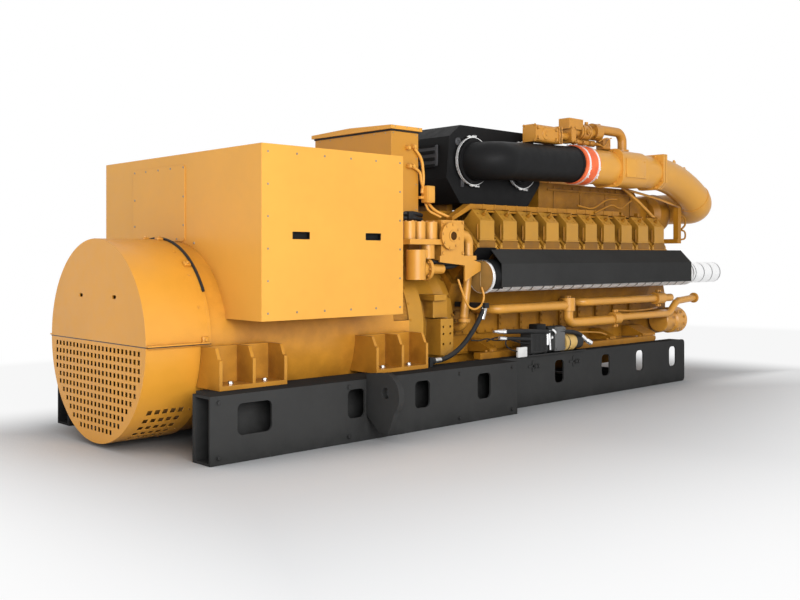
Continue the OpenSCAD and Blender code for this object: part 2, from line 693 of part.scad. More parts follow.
module intake_elbows() color(yellow) datum() both_sides() {
    bend_at([elbow_x, -pipe_y, pipe_z],
            [elbow_x + sweep_r * tan(sweep_a / 2), -pipe_y, pipe_z], sweep_end, pipe_r, sweep_r);
    bend_at(weld_end, cross_corner, [cross_x, -cross_y, cross_z], pipe_r, turn_r);
}
module crossover_pipe() color(yellow) datum() {
    rod_y(-cross_y, cross_y, cross_x, cross_z, pipe_r);
    both_sides() straight(sweep_end, weld_end, pipe_r + 5);
}
band_w = 20;
module band_y(y, x, z, r) difference() {
    rod_y(y, y + band_w, x, z, r + 5);
    rod_y(y - 1, y + band_w + 1, x, z, r + fit);
}
module pipe_clamps() color(bright) datum() both_sides() {
    for (side = [-1, 1]) band_y(-collar_y, cleaner_x + side * collar_gap, collar_z, collar_r);
    for (x = [coupling_x + 30, coupling_x + coupling_len - 34]) difference() {
        rod_x(x, x + band_w, -pipe_y, pipe_z, pipe_r + sleeve_t + 4);
        rod_x(x - 1, x + band_w + 1, -pipe_y, pipe_z, pipe_r + sleeve_t + fit);
    }
}

// One compressor a bank blows down into the cooler; both draw from the crossover pipe
turbo_x0 = cooler_x1 + 120;
turbo_z = cross_z - 60;
arm_z = plenum_z1 - 85;
module turbocharger() color(ochre) datum() {
    block(turbo_x0, turbo_x0 + 250, -320, 320, plenum_z1, plenum_z1 + 330);
    both_sides() turned_x(turbo_x0 + 250, -270, turbo_z, [[0, 0], [0, 120], [40, 168], [140, 190],
        [200, 168], [222, 110], [262, 96], [262, 0]]);
    difference() {
        rod_x(turbo_x0 + 240, cross_x, 0, cross_z, 90);
        rod_y(-200, 200, cross_x, cross_z, pipe_r + fit);
    }
    both_sides() {
        block(front_x1 - 70, front_x1 - 10, -600, case_y(arm_z) - fit, arm_z, arm_z + 40);
        block(front_x1 - 60, front_x1 - 10, -600, -550, arm_z + 40, arm_z + 325);
    }
}

// ---- Gas trains over the intake pipes ----
// Filter block, shut-off valve with its actuator, throttle and the drop to the mixer
gas_z = pipe_z + 214;
gas_top = pipe_z + 309;
gas_r = 38;
filter_x = first_cyl + 553;
module gas_train() {
    along_x(filter_x, 281) translate([-pipe_y, gas_z - 10]) rounded_rect(130, 131, 30);
    rod_x(filter_x + 281, filter_x + 300, -pipe_y, gas_z - 8, 69);
    rod_x(filter_x + 300, filter_x + 460, -pipe_y, gas_z, 32);
    along_x(filter_x + 448, 58) translate([-pipe_y, gas_z + 13]) rounded_rect(120, 126, 20);
    block(filter_x + 430, filter_x + 610, -pipe_y - 52, -pipe_y + 52, gas_z + 60, gas_z + 143);
    rod_x(filter_x + 500, filter_x + 600, -pipe_y, gas_z + 46, 40);
    rod_x(filter_x + 590, filter_x + 720, -pipe_y, gas_z + 52, 62);
    rod_x(filter_x + 700, filter_x + 800, -pipe_y, gas_z + 56, 44);
    rod_x(filter_x + 791, filter_x + 879, -pipe_y, gas_z + 68, 68);
    pipe_run([[filter_x + 860, -pipe_y, gas_top], [mixer_x + 216, -pipe_y, gas_top],
              [mixer_x + 216, -pipe_y, pipe_z + mixer_w / 2]], gas_r, 80);
    rod_z(pipe_z + mixer_w / 2, pipe_z + mixer_w / 2 + 16, mixer_x + 216, -pipe_y, gas_r + 18);
    rod_x(filter_x + 544, filter_x + 819, -pipe_y, pipe_z + 185, 25);
    rod_z(pipe_z + 170, gas_z + 20, filter_x + 640, -pipe_y, 18);
    along_x(filter_x + 908, 102) translate([-pipe_y, pipe_z + 192]) rounded_rect(70, 90, 12);
    rod_x(filter_x + 810, filter_x + 912, -pipe_y, pipe_z + 185, 14);
}
module gas_trains() color(yellow) datum() both_sides() gas_train();

// ---- Front end ----
case_half = skirt - 50;
case_z = shaft_z + 388;
case_top = 230;
function case_y(z) = -case_half + (z - case_z) * (case_half - case_top) / (plenum_z1 - case_z);
module front_case() color(ochre) datum() {
    along_x(block_x1, front_x1 - block_x1) polygon([[-skirt, skirt_z0], [-skirt, skirt_z1],
        [-case_half, case_z], [-case_top, plenum_z1], [case_top, plenum_z1], [case_half, case_z],
        [skirt, skirt_z1], [skirt, skirt_z0], [330, skirt_z0 - 20], [-330, skirt_z0 - 20]]);
    turned_x(front_x1, 0, shaft_z, [[0, 0], [0, 270], [30, 270], [30, 210], [70, 210], [70, 90], [110, 90], [110, 0]]);
}
pump_y = 546;
pump_z = shaft_z - 92;
module coolant_pumps() color(ochre) datum() both_sides()
    turned_x(block_x1 + 20, -pump_y, pump_z, [[0, 0], [0, 92], [8, 100], [140, 100], [156, 116],
        [300, 116], [340, 84], [340, 0]]);

// Water pipes along the near and far sides of the block
low_y = 660;
pipe_1_z = shaft_z + 103;
pipe_2_z = pipe_1_z + 18;
deck_edge = bank_pt(deck, bank_half);
function side_y(z) = skirt + max(0, z - skirt_z1) * (-deck_edge[0] - skirt) / (deck_edge[1] - skirt_z1) + fit;
pipe_3_z = shaft_z - 21;
tee_x = first_cyl + 982;
band_x = tee_x + 640;
module coolant_pipes() color(yellow) datum() both_sides() {
    pipe_run([[first_cyl + 128, -side_y(pipe_1_z + 36), pipe_1_z], [first_cyl + 128, -low_y, pipe_1_z],
              [tee_x, -low_y, pipe_1_z]], 36, 62);
    rod_z(pipe_1_z - 42, pipe_1_z + 58, tee_x, -low_y, 54);
    pipe_run([[tee_x, -low_y, pipe_1_z], [tee_x, -low_y, pipe_3_z - 16],
              [band_x, -low_y, pipe_3_z - 16]], 38, 52);
    rod_x(band_x - 46, band_x + 48, -low_y, pipe_3_z - 6, 50);
    mitred([[band_x, -low_y, pipe_3_z], [last_cyl + 178, -low_y, pipe_3_z],
            [last_cyl + 220, -low_y, pipe_3_z + 14], [last_cyl + 314, -low_y, pipe_3_z + 92],
            [last_cyl + 356, -low_y, pipe_3_z + 108], [last_cyl + 640, -low_y, pipe_3_z + 128]], 30);
    pipe_run([[tee_x + 190, -side_y(pipe_2_z + 33), pipe_2_z], [tee_x + 190, -low_y, pipe_2_z],
              [last_cyl + 230, -low_y, pipe_2_z]], 33, 62);
    rod_x(last_cyl - 33, last_cyl + 91, -low_y, pipe_2_z, 52);
    rod_x(last_cyl + 620, last_cyl + 635, -low_y, pipe_3_z + 127, 46);
}

// ---- Wiring ----
duct_z = shaft_z + 822;
duct_y = 582;
duct_w = 70;
duct_h = 40;
tab_t = cyl_pitch - head_len + 10;
module wiring_ducts() color(ochre) datum() both_sides() {
    along_y(-duct_y, duct_w) polygon([[first_cyl - 250, duct_z - 88], [first_cyl - 60, duct_z],
        [last_cyl - 452, duct_z], [last_cyl - 452, duct_z + duct_h], [first_cyl - 60, duct_z + duct_h],
        [first_cyl - 250, duct_z - 58]]);
    for (i = [0:n_cyl - 2]) translate([first_cyl + (i + 0.5) * cyl_pitch, 0, 0])
        along_x(-tab_t / 2, tab_t) polygon([[-560, min(duct_z, bank_pt(head_top, -80)[1])],
            [-560, duct_z + duct_h - 2], [-520, duct_z + duct_h - 2], [-520, duct_z]]);
}

// ---- Rear fittings, near side ----
shelf_z = shaft_z + 490;
thermo_x = first_cyl - 634;
module thermostat_housing() color(yellow) datum() {
    block(first_cyl - 470, first_cyl - 247, -690, -540, shelf_z, shelf_z + 243);
    rod_y(-716, -690, first_cyl - 398, shelf_z + 133, 92);
    for (p = [[-91, 42], [0, 44], [106, 50]])
        rod_z(shelf_z + 98, shelf_z + 228, thermo_x + p[0], -640, p[1]);
    block(thermo_x - 140, first_cyl - 470, -700, -580, shelf_z + 75, shelf_z + 111);
    rod_z(shelf_z - 20, shelf_z + 75, thermo_x + 77, -640, 51);
    rod_z(shelf_z - 160, shelf_z + 40, thermo_x - 28, -640, 66);
    block(thermo_x - 28, thermo_x + 77, -680, -600, shelf_z - 14, shelf_z + 40);
    rod_x(thermo_x - 28, thermo_x + 67, -640, shelf_z - 90, 56);
    rod_x(thermo_x + 45, thermo_x + 70, -640, shelf_z - 90, 78);
    rod_x(thermo_x + 70, thermo_x + 220, -640, shelf_z - 90, 34);
    pipe_run([[first_cyl - 247, -650, shelf_z + 143], [first_cyl - 164, -650, shelf_z + 143],
              [first_cyl - 164, -650, shelf_z - 30]], 38, 60);
    along_y(-690, 14) polygon([[first_cyl - 483, shelf_z], [first_cyl - 235, shelf_z - 7],
        [first_cyl - 72, shelf_z - 50], [first_cyl - 72, shelf_z - 107], [first_cyl - 179, shelf_z - 151],
        [first_cyl - 235, shelf_z - 181], [first_cyl - 235, shelf_z - 68], [first_cyl - 483, shelf_z - 44]]);
    block(first_cyl - 483, first_cyl - head_len / 2, -690, -430, shelf_z - 30, shelf_z);
}
rear_x = first_cyl - 140;
module rear_water_pipe() color(yellow) datum() {
    pipe_run([[rear_x, -590, shaft_z + 60], [rear_x, -590, shaft_z - 20], [rear_x, -skirt, shaft_z - 20]], 30, 60);
    mitred([[rear_x, -590, shaft_z + 50], [rear_x, -590, shaft_z + 60], [rear_x + 48, -590, shelf_z - 107]], 30);
    rod_z(shaft_z + 20, shaft_z + 44, rear_x, -590, 46);
}

// The bracket under the manifold's end takes the hose and a small bore pipe
hose_y = 720;
hose_x = barrel_x1 + 56;
hose_z = shaft_z - 212;
module drain_hose() color(black) datum() {
    hose([hose_x + 30, -hose_y, hose_z], [hose_x + 314, -hose_y, hose_z - 15],
         [first_cyl - 68, -hose_y, shaft_z + 122], 17, 14, 12);
    block(hose_x - 26, hose_x, -hose_y - 24, -hose_y + 24, rail_h, hose_z + 26);
    rod_x(hose_x, hose_x + 30.3, -hose_y, hose_z, 24);
    block(first_cyl - 90, first_cyl - 46, -hose_y - 24, -skirt - 24, shaft_z + 122, shaft_z + 158);
}

// ---- Prelube unit on the near rail ----
unit_y = 735;
unit_x = first_cyl + 340;
module prelube_unit() color(black) datum() {
    block(unit_x, unit_x + 700, -unit_y - 50, -unit_y + 50, rail_h, rail_h + 10);
    along_x(unit_x + 30, 198) translate([-unit_y, rail_h + 96]) rounded_rect(100, 176, 36);
    along_x(unit_x + 245, 188) translate([-unit_y, rail_h + 112]) rounded_rect(96, 190, 30);
    block(unit_x + 220, unit_x + 250, -unit_y - 30, -unit_y + 30, rail_h + 40, rail_h + 130);
    rod_x(unit_x + 425, unit_x + 460, -unit_y, rail_h + 74, 40);
    turned_x(unit_x + 450, -unit_y, rail_h + 74, [[0, 0], [0, 58], [20, 64], [90, 64], [100, 56], [215, 56],
        [233, 40], [233, 0]]);
}

main_rail_near();
main_rail_far();
outer_beam_near();
outer_beam_far();
cross_members();
lifting_eyes();
end_shroud();
lower_shroud();
vent_screen();
alternator_barrel();
alternator_feet();
terminal_box();
box_side_panels();
box_access_panel();
control_cabinet();
cabinet_lid();
cabinet_stand();
flywheel_housing();
crankcase();
oil_pan();
engine_rails();
crankcase_doors();
cylinder_heads_near();
cylinder_heads_far();
rocker_covers_near();
rocker_covers_far();
exhaust_manifold_near();
exhaust_manifold_far();
heat_shield_near();
heat_shield_far();
exhaust_bellows();
charge_plenum();
charge_cooler();
air_cleaner();
air_cleaner_stand();
intake_ducts();
duct_couplings();
intake_pipes();
intake_elbows();
crossover_pipe();
pipe_clamps();
turbocharger();
gas_trains();
front_case();
coolant_pumps();
coolant_pipes();
wiring_ducts();
thermostat_housing();
rear_water_pipe();
prelube_unit();
drain_hose();
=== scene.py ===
import math
import bmesh
import bpy
from mathutils import Matrix, Vector


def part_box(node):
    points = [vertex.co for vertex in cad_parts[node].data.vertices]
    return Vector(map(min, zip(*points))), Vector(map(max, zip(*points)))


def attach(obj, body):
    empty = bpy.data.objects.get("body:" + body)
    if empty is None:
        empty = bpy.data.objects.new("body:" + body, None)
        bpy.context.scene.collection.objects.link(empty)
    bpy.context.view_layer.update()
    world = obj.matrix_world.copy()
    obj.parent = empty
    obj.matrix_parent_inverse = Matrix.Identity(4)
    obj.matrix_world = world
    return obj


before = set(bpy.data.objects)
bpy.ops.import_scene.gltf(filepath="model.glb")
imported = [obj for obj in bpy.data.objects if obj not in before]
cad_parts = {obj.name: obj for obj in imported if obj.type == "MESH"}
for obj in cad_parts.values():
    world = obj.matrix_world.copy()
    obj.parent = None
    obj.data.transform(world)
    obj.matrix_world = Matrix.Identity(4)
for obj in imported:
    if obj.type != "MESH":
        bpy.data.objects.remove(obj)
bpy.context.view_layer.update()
scene = bpy.context.scene
scene.view_settings.view_transform = "Standard"

# ---- Camera ----
# A level camera at chest height off the alternator's near corner. Places along the
# set are counted in millimetres from the alternator's end plate.
end_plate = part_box("vent_screen")[0].x


def at(x, y, z):
    return Vector((end_plate + x / 1000, y / 1000, z / 1000))


def mm_along(x):
    return (x - end_plate) * 1000


view_x, view_y = 0.6861, 0.7275
camera = bpy.data.objects.new("camera", bpy.data.cameras.new("camera"))
scene.collection.objects.link(camera)
camera.data.lens = 43.45
camera.data.sensor_width = 36
camera.data.shift_y = -0.055
camera.data.clip_end = 200
camera.location = at(-2542, -5258, 1100)
camera.rotation_euler = (math.radians(90), 0, math.atan2(-view_x, view_y))
scene.camera = camera

# ---- Studio ----
# A matt pale floor that runs out into a white backdrop, one wide soft lamp along the
# near side, a weaker one off the alternator's end, and an even white surround.


# Every helper for nodes adds them to the tree that is being built, which is held in tree
def node(kind, values=None, **settings):
    made = tree.nodes.new("ShaderNode" + kind)
    for key, value in settings.items():
        setattr(made, key, value)
    for key, value in (values or {}).items():
        if isinstance(value, bpy.types.NodeSocket):
            link(value, made.inputs[key])
        else:
            made.inputs[key].default_value = value
    return made


def link(value, socket):
    tree.links.new(value, socket)


def maths(operation, *values):
    return node("Math", dict(enumerate(values)), operation=operation).outputs[0]


def fade(value, low, high, to_low=0.0, to_high=1.0, smooth=False):
    limits = {"Value": value, "From Min": low, "From Max": high, "To Min": to_low, "To Max": to_high}
    kind = "SMOOTHSTEP" if smooth else "LINEAR"
    return node("MapRange", limits, interpolation_type=kind).outputs["Result"]


def object_place():
    return node("TexCoord").outputs["Object"]


def axes_of(place):
    return node("SeparateXYZ", {0: place}).outputs


def noise(place, scale, detail, **more):
    return node("TexNoise", {"Vector": place, "Scale": scale, "Detail": detail, **more}).outputs["Fac"]


def scaled(vector, factor):
    return node("VectorMath", {0: vector, "Scale": factor}, operation="SCALE").outputs["Vector"]


def seen_directly():
    path = node("LightPath").outputs
    seen = maths("MAXIMUM", path["Is Camera Ray"], path["Is Glossy Ray"])
    return maths("MAXIMUM", seen, path["Is Transmission Ray"])


def new_finish(name):
    global tree
    material = bpy.data.materials.new(name)
    material.use_nodes = True
    tree = material.node_tree
    return material


def shade_inputs():
    return tree.nodes["Principled BSDF"].inputs


# One mesh is the bench that every piece is built on, and is cleared after each
bm = bmesh.new()
bmesh.ops.create_grid(bm, x_segments=1, y_segments=1, size=60)
floor_mesh = bpy.data.meshes.new("floor")
bm.to_mesh(floor_mesh)
bm.clear()
floor = bpy.data.objects.new("floor", floor_mesh)
scene.collection.objects.link(floor)
floor_paint = new_finish("studio_floor")
shade = shade_inputs()
shade["Roughness"].default_value = 0.9
shade["Specular IOR Level"].default_value = 0.1
place = object_place()
scuff = noise(place, 0.6, 2.0)
# Painted contact shadow: the floor's colour darkens by ambient occlusion close to the set
open_air = node("AmbientOcclusion", {"Distance": 0.7}, samples=8).outputs["AO"]
shaded = fade(open_air, 0.15, 0.95, 0.3, 1.0)
channels = {i: fade(scuff, 0.3, 0.7, base, base + 0.02) for i, base in enumerate((0.84, 0.86, 0.885))}
pale = node("CombineColor", channels).outputs[0]
link(scaled(pale, shaded), shade["Base Color"])

# The floor fades out to the white backdrop, at its own distance on each side of the set
distance = node("VectorMath", {0: place}, operation="LENGTH").outputs["Value"]
ground = axes_of(place)
spread = axes_of(node("VectorMath", {0: place}, operation="ABSOLUTE").outputs[0])
beside = fade(spread["Y"], 0.75, 1.1)
slant = maths("SUBTRACT", maths("MULTIPLY", ground["X"], 0.35), ground["Y"])
far = fade(distance, 4.2, 9.5, smooth=True)
limits = ((spread["X"], 2.85, 4.3, 0.9), (slant, 1.2, 4.2, 0.9), (ground["Y"], 2.0, 5.0, 1.0),
          (ground["Y"], -1.4, -4.2, 0.9), (ground["Y"], 0.5, 1.7, 0.9))
for side, low, high, most in limits:
    far = maths("MAXIMUM", far, fade(side, low, high, 0.0, most, smooth=True))
ahead = fade(ground["X"], 1.4, 3.6, 0.0, 0.6, smooth=True)
far = maths("MAXIMUM", far, maths("MULTIPLY", ahead, beside))
white = node("Emission").outputs["Emission"]
painted = tree.nodes["Principled BSDF"].outputs["BSDF"]
mixed = node("MixShader", {0: maths("MULTIPLY", far, seen_directly()), 1: painted, 2: white})
link(mixed.outputs[0], tree.nodes["Material Output"].inputs["Surface"])
floor_mesh.materials.append(floor_paint)

world = bpy.data.worlds.new("studio")
world.use_nodes = True
scene.world = world
tree = world.node_tree
soft = tree.nodes["Background"]
soft.inputs["Color"].default_value = (1, 1, 1, 1)
height = axes_of(node("TexCoord").outputs["Generated"])["Z"]
link(fade(height, 0.0, 0.9, 0.5, 0.16, smooth=True), soft.inputs["Strength"])
clear = node("Background", {"Color": (1, 1, 1, 1)})
mixed = node("MixShader", {0: seen_directly(), 1: soft.outputs[0], 2: clear.outputs[0]})
link(mixed.outputs[0], tree.nodes["World Output"].inputs["Surface"])


def soft_box(name, place, target, size, power):
    lamp = bpy.data.lights.new(name, "AREA")
    lamp.shape = "RECTANGLE"
    lamp.size, lamp.size_y = size
    lamp.energy = power
    made = bpy.data.objects.new(name, lamp)
    made.location = place
    made.rotation_euler = (Vector(target) - Vector(place)).to_track_quat("-Z", "Y").to_euler()
    scene.collection.objects.link(made)


near_watts, end_watts = 795, 112
soft_box("near_lamp", (-4.7, -8.8, 3.0), (-0.3, 0, 0.9), (7, 4), near_watts)
soft_box("end_lamp", (-9.0, 1.5, 3.2), (-1, 0, 1.0), (5, 4), end_watts)

# ---- Base frame ----
# Two long steel channels with outer beams beside the alternator, channels across and
# lifting eyes, welded up and sprayed in satin black enamel. Everything bolts down on it.


def finish_group(name, inputs, outputs):
    global tree
    tree = bpy.data.node_groups.new(name, "ShaderNodeTree")
    for way, sockets in (("INPUT", inputs), ("OUTPUT", outputs)):
        for label, kind in sockets.items():
            tree.interface.new_socket(label, in_out=way, socket_type="NodeSocket" + kind)
    return tree.nodes.new("NodeGroupInput").outputs, tree.nodes.new("NodeGroupOutput").inputs


# Sprayed enamel: the coat's depth drifts over a panel and its skin has a fine orange peel
given, made = finish_group("sprayed_enamel", {"Colour": "Color", "Gloss": "Float", "Drift": "Float"},
                           {"Colour": "Color", "Roughness": "Float", "Height": "Float"})
place = object_place()
broad, cloudy = noise(place, 1.9, 3.0), noise(place, 17.0, 5.0)
tone = maths("ADD", fade(broad, 0.3, 0.7, -1.0, 1.0), fade(cloudy, 0.3, 0.7, -0.35, 0.35))
tone = maths("MULTIPLY_ADD", tone, given["Drift"], 1.0)
link(scaled(given["Colour"], tone), made["Colour"])
link(maths("ADD", given["Gloss"], fade(cloudy, 0.3, 0.7, -0.05, 0.08)), made["Roughness"])
link(noise(place, 230.0, 1.0), made["Height"])

# Edge wear: the coat is thin and rubbed where a corner turns, in broken patches
given, made = finish_group("edge_wear", {"Radius": "Float", "Amount": "Float"},
                           {"Mask": "Float", "Normal": "Vector"})
rounded = node("Bevel", {"Radius": given["Radius"]}, samples=4).outputs["Normal"]
facing = node("VectorMath", {0: rounded, 1: node("NewGeometry").outputs["Normal"]},
              operation="DOT_PRODUCT").outputs["Value"]
patchy = noise(object_place(), 26.0, 4.0)
worn = maths("MULTIPLY", fade(facing, 0.99, 0.86), fade(patchy, 0.4, 0.6))
link(maths("MULTIPLY", worn, given["Amount"]), made["Mask"])
link(rounded, made["Normal"])

# Corner shade and dirt: painted shade darkens the colour by ambient occlusion where surfaces meet and in narrow
# gaps, broken into blotches like oil mist and dust
given, made = finish_group("corner_shade_and_dirt", {"Reach": "Float", "Amount": "Float"}, {"Mask": "Float"})
open_air = node("AmbientOcclusion", {"Distance": given["Reach"]}, samples=6).outputs["AO"]
blotch = noise(object_place(), 11.0, 4.0)
held = maths("MULTIPLY", fade(open_air, 0.85, 0.15), fade(blotch, 0.3, 0.6, 0.55, 1.0))
link(maths("MULTIPLY", held, given["Amount"]), made["Mask"])

# Settled dust: a thin pale film on faces that look up
given, made = finish_group("settled_dust", {"Amount": "Float"}, {"Mask": "Float"})
up = axes_of(node("NewGeometry").outputs["Normal"])["Z"]
drifted = noise(object_place(), 6.0, 6.0)
film = maths("MULTIPLY", fade(up, 0.5, 0.95), fade(drifted, 0.35, 0.7))
link(maths("MULTIPLY", film, given["Amount"]), made["Mask"])

# Cast skin: the grain and small pits that a sand mould leaves under the paint
given, made = finish_group("cast_skin", {"Scale": "Float"}, {"Height": "Float"})
place = object_place()
pits = node("TexVoronoi", {"Vector": place, "Scale": given["Scale"]}).outputs["Distance"]
grain = noise(place, given["Scale"], 4.0)
link(maths("ADD", grain, maths("MULTIPLY", pits, 0.4)), made["Height"])


def blend(mask, under, over):
    return node("Mix", {0: mask, 6: under, 7: over}, data_type="RGBA").outputs[2]


def shared(group, values):
    return node("Group", values, node_tree=bpy.data.node_groups[group]).outputs


def bump(height, strength, depth, **more):
    return node("Bump", {"Strength": strength, "Distance": depth, "Height": height, **more}).outputs[0]


def enamel(name, colour, gloss, drift=0.08, worn=(0.86, 0.5, 0.16), wear=0.3, shade_and_dirt=0.9, reach=0.08,
           shade_and_dirt_colour=(0.05, 0.03, 0.015), dust=0.0, skin=0.00012, cast=None, cast_depth=0.0006, coat=0.0,
           shine=0.5):
    material = new_finish(name)
    paint = shade_inputs()
    sprayed = shared("sprayed_enamel", {"Colour": (*colour, 1), "Gloss": gloss, "Drift": drift})
    edges = shared("edge_wear", {"Radius": 0.0025, "Amount": wear})
    corners = shared("corner_shade_and_dirt", {"Reach": reach, "Amount": shade_and_dirt})
    film = shared("settled_dust", {"Amount": dust})
    top = blend(edges["Mask"], sprayed["Colour"], (*worn, 1))
    # Corners and gaps darken with painted shade mixed with dirt
    top = blend(corners["Mask"], top, (*shade_and_dirt_colour, 1))
    top = blend(film["Mask"], top, (0.62, 0.56, 0.46, 1))
    shape = edges["Normal"]
    if cast:
        shape = bump(shared("cast_skin", {"Scale": cast})["Height"], 0.6, cast_depth, Normal=shape)
    link(top, paint["Base Color"])
    link(sprayed["Roughness"], paint["Roughness"])
    link(bump(sprayed["Height"], 0.5, skin, Normal=shape), paint["Normal"])
    paint["Specular IOR Level"].default_value = shine
    paint["Coat Weight"].default_value = coat
    paint["Coat Roughness"].default_value = 0.2
    return material


def dress(material, *nodes):
    for name in nodes:
        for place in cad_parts[name].material_slots:
            place.material = material


black_enamel = enamel("black_enamel", (0.046, 0.046, 0.0455), 0.5, worn=(0.12, 0.118, 0.115), shade_and_dirt=0.85,
                      reach=0.2, shade_and_dirt_colour=(0.004, 0.004, 0.004), shine=0.0)
dress(black_enamel, "main_rail_near", "main_rail_far", "outer_beam_near", "outer_beam_far", "cross_members",
      "lifting_eyes")
outward = Vector((0, -1, 0))


def round_bar(start, stop, radius, tip=None, sides=20):
    turn = (stop - start).to_track_quat("Z", "Y").to_matrix().to_4x4()
    return bmesh.ops.create_cone(bm, cap_ends=True, segments=sides, radius1=radius,
                                 radius2=radius if tip is None else tip, depth=(stop - start).length,
                                 matrix=Matrix.Translation((start + stop) / 2) @ turn)["verts"]


def block(centre, size, turn=Matrix()):
    return bmesh.ops.create_cube(bm, size=1, matrix=Matrix.Translation(centre) @ turn
                                 @ Matrix.Diagonal((*size, 1)))["verts"]


def soften(corners, edge, segments=2):
    edges = list({e for v in corners for e in v.link_edges})
    bmesh.ops.bevel(bm, geom=edges, offset=edge, segments=segments, profile=0.5, affect="EDGES", material=-1)


def plate(low, high, edge=0.0015, segments=2):
    low, high = (Vector(map(f, low, high)) for f in (min, max))
    soften(block((low + high) / 2, high - low), edge, segments)


def hex_bolt(place, out, size):
    out = out.normalized()
    round_bar(place - out * size * 0.1, place + out * size * 0.16, size * 1.35, sides=14)
    corners = round_bar(place + out * size * 0.16, place + out * size * 0.8, size, sides=6)
    top = max({f for v in corners for f in v.link_faces}, key=lambda f: f.calc_center_median().dot(out))
    bmesh.ops.inset_region(bm, faces=[top], thickness=size * 0.12, depth=size * 0.1)


def bolt_rows(xs, ys, zs, out, size):
    for x in xs:
        for y in ys:
            for z in zs:
                hex_bolt(at(x, y, z), out, size)


def both_sides():
    bmesh.ops.mirror(bm, geom=bm.verts[:] + bm.edges[:] + bm.faces[:], matrix=Matrix.Identity(4),
                     merge_dist=0, axis="Y")


def piece(name, material):
    bmesh.ops.remove_doubles(bm, verts=bm.verts, dist=1e-5)
    bmesh.ops.recalc_face_normals(bm, faces=bm.faces)
    mesh = bpy.data.meshes.new(name)
    bm.to_mesh(mesh)
    bm.clear()
    mesh.shade_smooth()
    mesh.set_sharp_from_angle(angle=math.radians(32))
    mesh.materials.append(material)
    made = bpy.data.objects.new(name, mesh)
    scene.collection.objects.link(made)
    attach(made, "root")


# Two small cross-shaped stays bolted to the near rail's web
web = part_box("main_rail_near")[0].y * 1000
stay_face = web - 7
for x in (3034, 3528):
    plate(at(x - 54, web, 281), at(x + 70, stay_face, 299))
    plate(at(x - 9, web, 250), at(x + 11, stay_face, 330))
    bolt_rows((x + 22, x + 60), (stay_face,), (288,), outward, 0.012)
piece("rail_stays", black_enamel)

# Tie bolts along the outer beams' flanges
bolt_rows((236, 1130, 2080, 2610), (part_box("outer_beam_near")[0].y * 1000,), (40, 330), outward, 0.011)
both_sides()
piece("beam_bolts", black_enamel)

# ---- Alternator ----
# A rolled sheet-steel drum with a flat end plate and a screened lower half, a ribbed
# barrel behind it and bolted-down welded feet, in a smooth warm yellow enamel.
drum_yellow, drum_shade_and_dirt = (0.74, 0.33, 0.032), (0.16, 0.05, 0.004)
# The drum's wide corner darkening also paints the terminal box's shade on the drum
drum_enamel = enamel("drum_enamel", drum_yellow, 0.4, drift=0.04, shade_and_dirt=0.75, reach=0.45, shade_and_dirt_colour=drum_shade_and_dirt,
                     dust=0.03, coat=0.1)
# The yellow paint darkened as painted shade, for the alternator's feet and the control cabinet
shaded_yellow_enamel = enamel("shaded_yellow_enamel", (0.585, 0.262, 0.026), 0.4, drift=0.05, worn=(0.8, 0.46, 0.14),
                         wear=0.35, shade_and_dirt=0.75, reach=0.3, shade_and_dirt_colour=(0.12, 0.038, 0.003), dust=0.03, coat=0.05,
                         shine=0.4)
screen_enamel_painted_shade = enamel("screen_enamel_painted_shade", drum_yellow, 0.4, drift=0.04, wear=0.2, shade_and_dirt=0.4, shade_and_dirt_colour=drum_shade_and_dirt,
                       coat=0.1)
dress(drum_enamel, "alternator_barrel", "end_shroud")
dress(shaded_yellow_enamel, "alternator_feet")
dress(screen_enamel_painted_shade, "lower_shroud", "vent_screen")


def reach_of(across, over):
    squares = [maths("POWER", side, 2.0) for side in (across, over)]
    return maths("SQRT", maths("ADD", *squares))


# Painted shade: the vent holes' walls, the inside behind the screen and the joint under the seam go near black
shaft_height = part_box("end_shroud")[0].z
tree = screen_enamel_painted_shade.node_tree
axes = axes_of(object_place())
from_shaft = reach_of(axes["Y"], maths("SUBTRACT", axes["Z"], shaft_height))
behind_face = fade(axes["X"], end_plate + 0.002, end_plate + 0.004)
in_wall = maths("MULTIPLY", fade(from_shaft, 0.5865, 0.5885, 1.0, 0.0), behind_face)
in_screen = maths("MULTIPLY", behind_face, fade(from_shaft, 0.57, 0.575, 1.0, 0.0))
joint = fade(axes["Z"], shaft_height - 0.007, shaft_height - 0.005)
unlit = maths("MAXIMUM", maths("MAXIMUM", in_wall, in_screen), joint)
face_colour = shade_inputs()["Base Color"]
dimmed = blend(unlit, face_colour.links[0].from_socket, (0.022, 0.008, 0.001, 1))
link(dimmed, face_colour)

shaft = shaft_height * 1000
drum_r, barrel_r = 590, 575
along_set, across_set, upward = Vector((1, 0, 0)), Vector((0, 1, 0)), Vector((0, 0, 1))
black_rubber = enamel("black_rubber", (0.012, 0.012, 0.0125), 0.6, drift=0.1, worn=(0.04, 0.04, 0.04), wear=0.2,
                      shade_and_dirt=0.0, dust=0.05, skin=0.0002, shine=0.3)


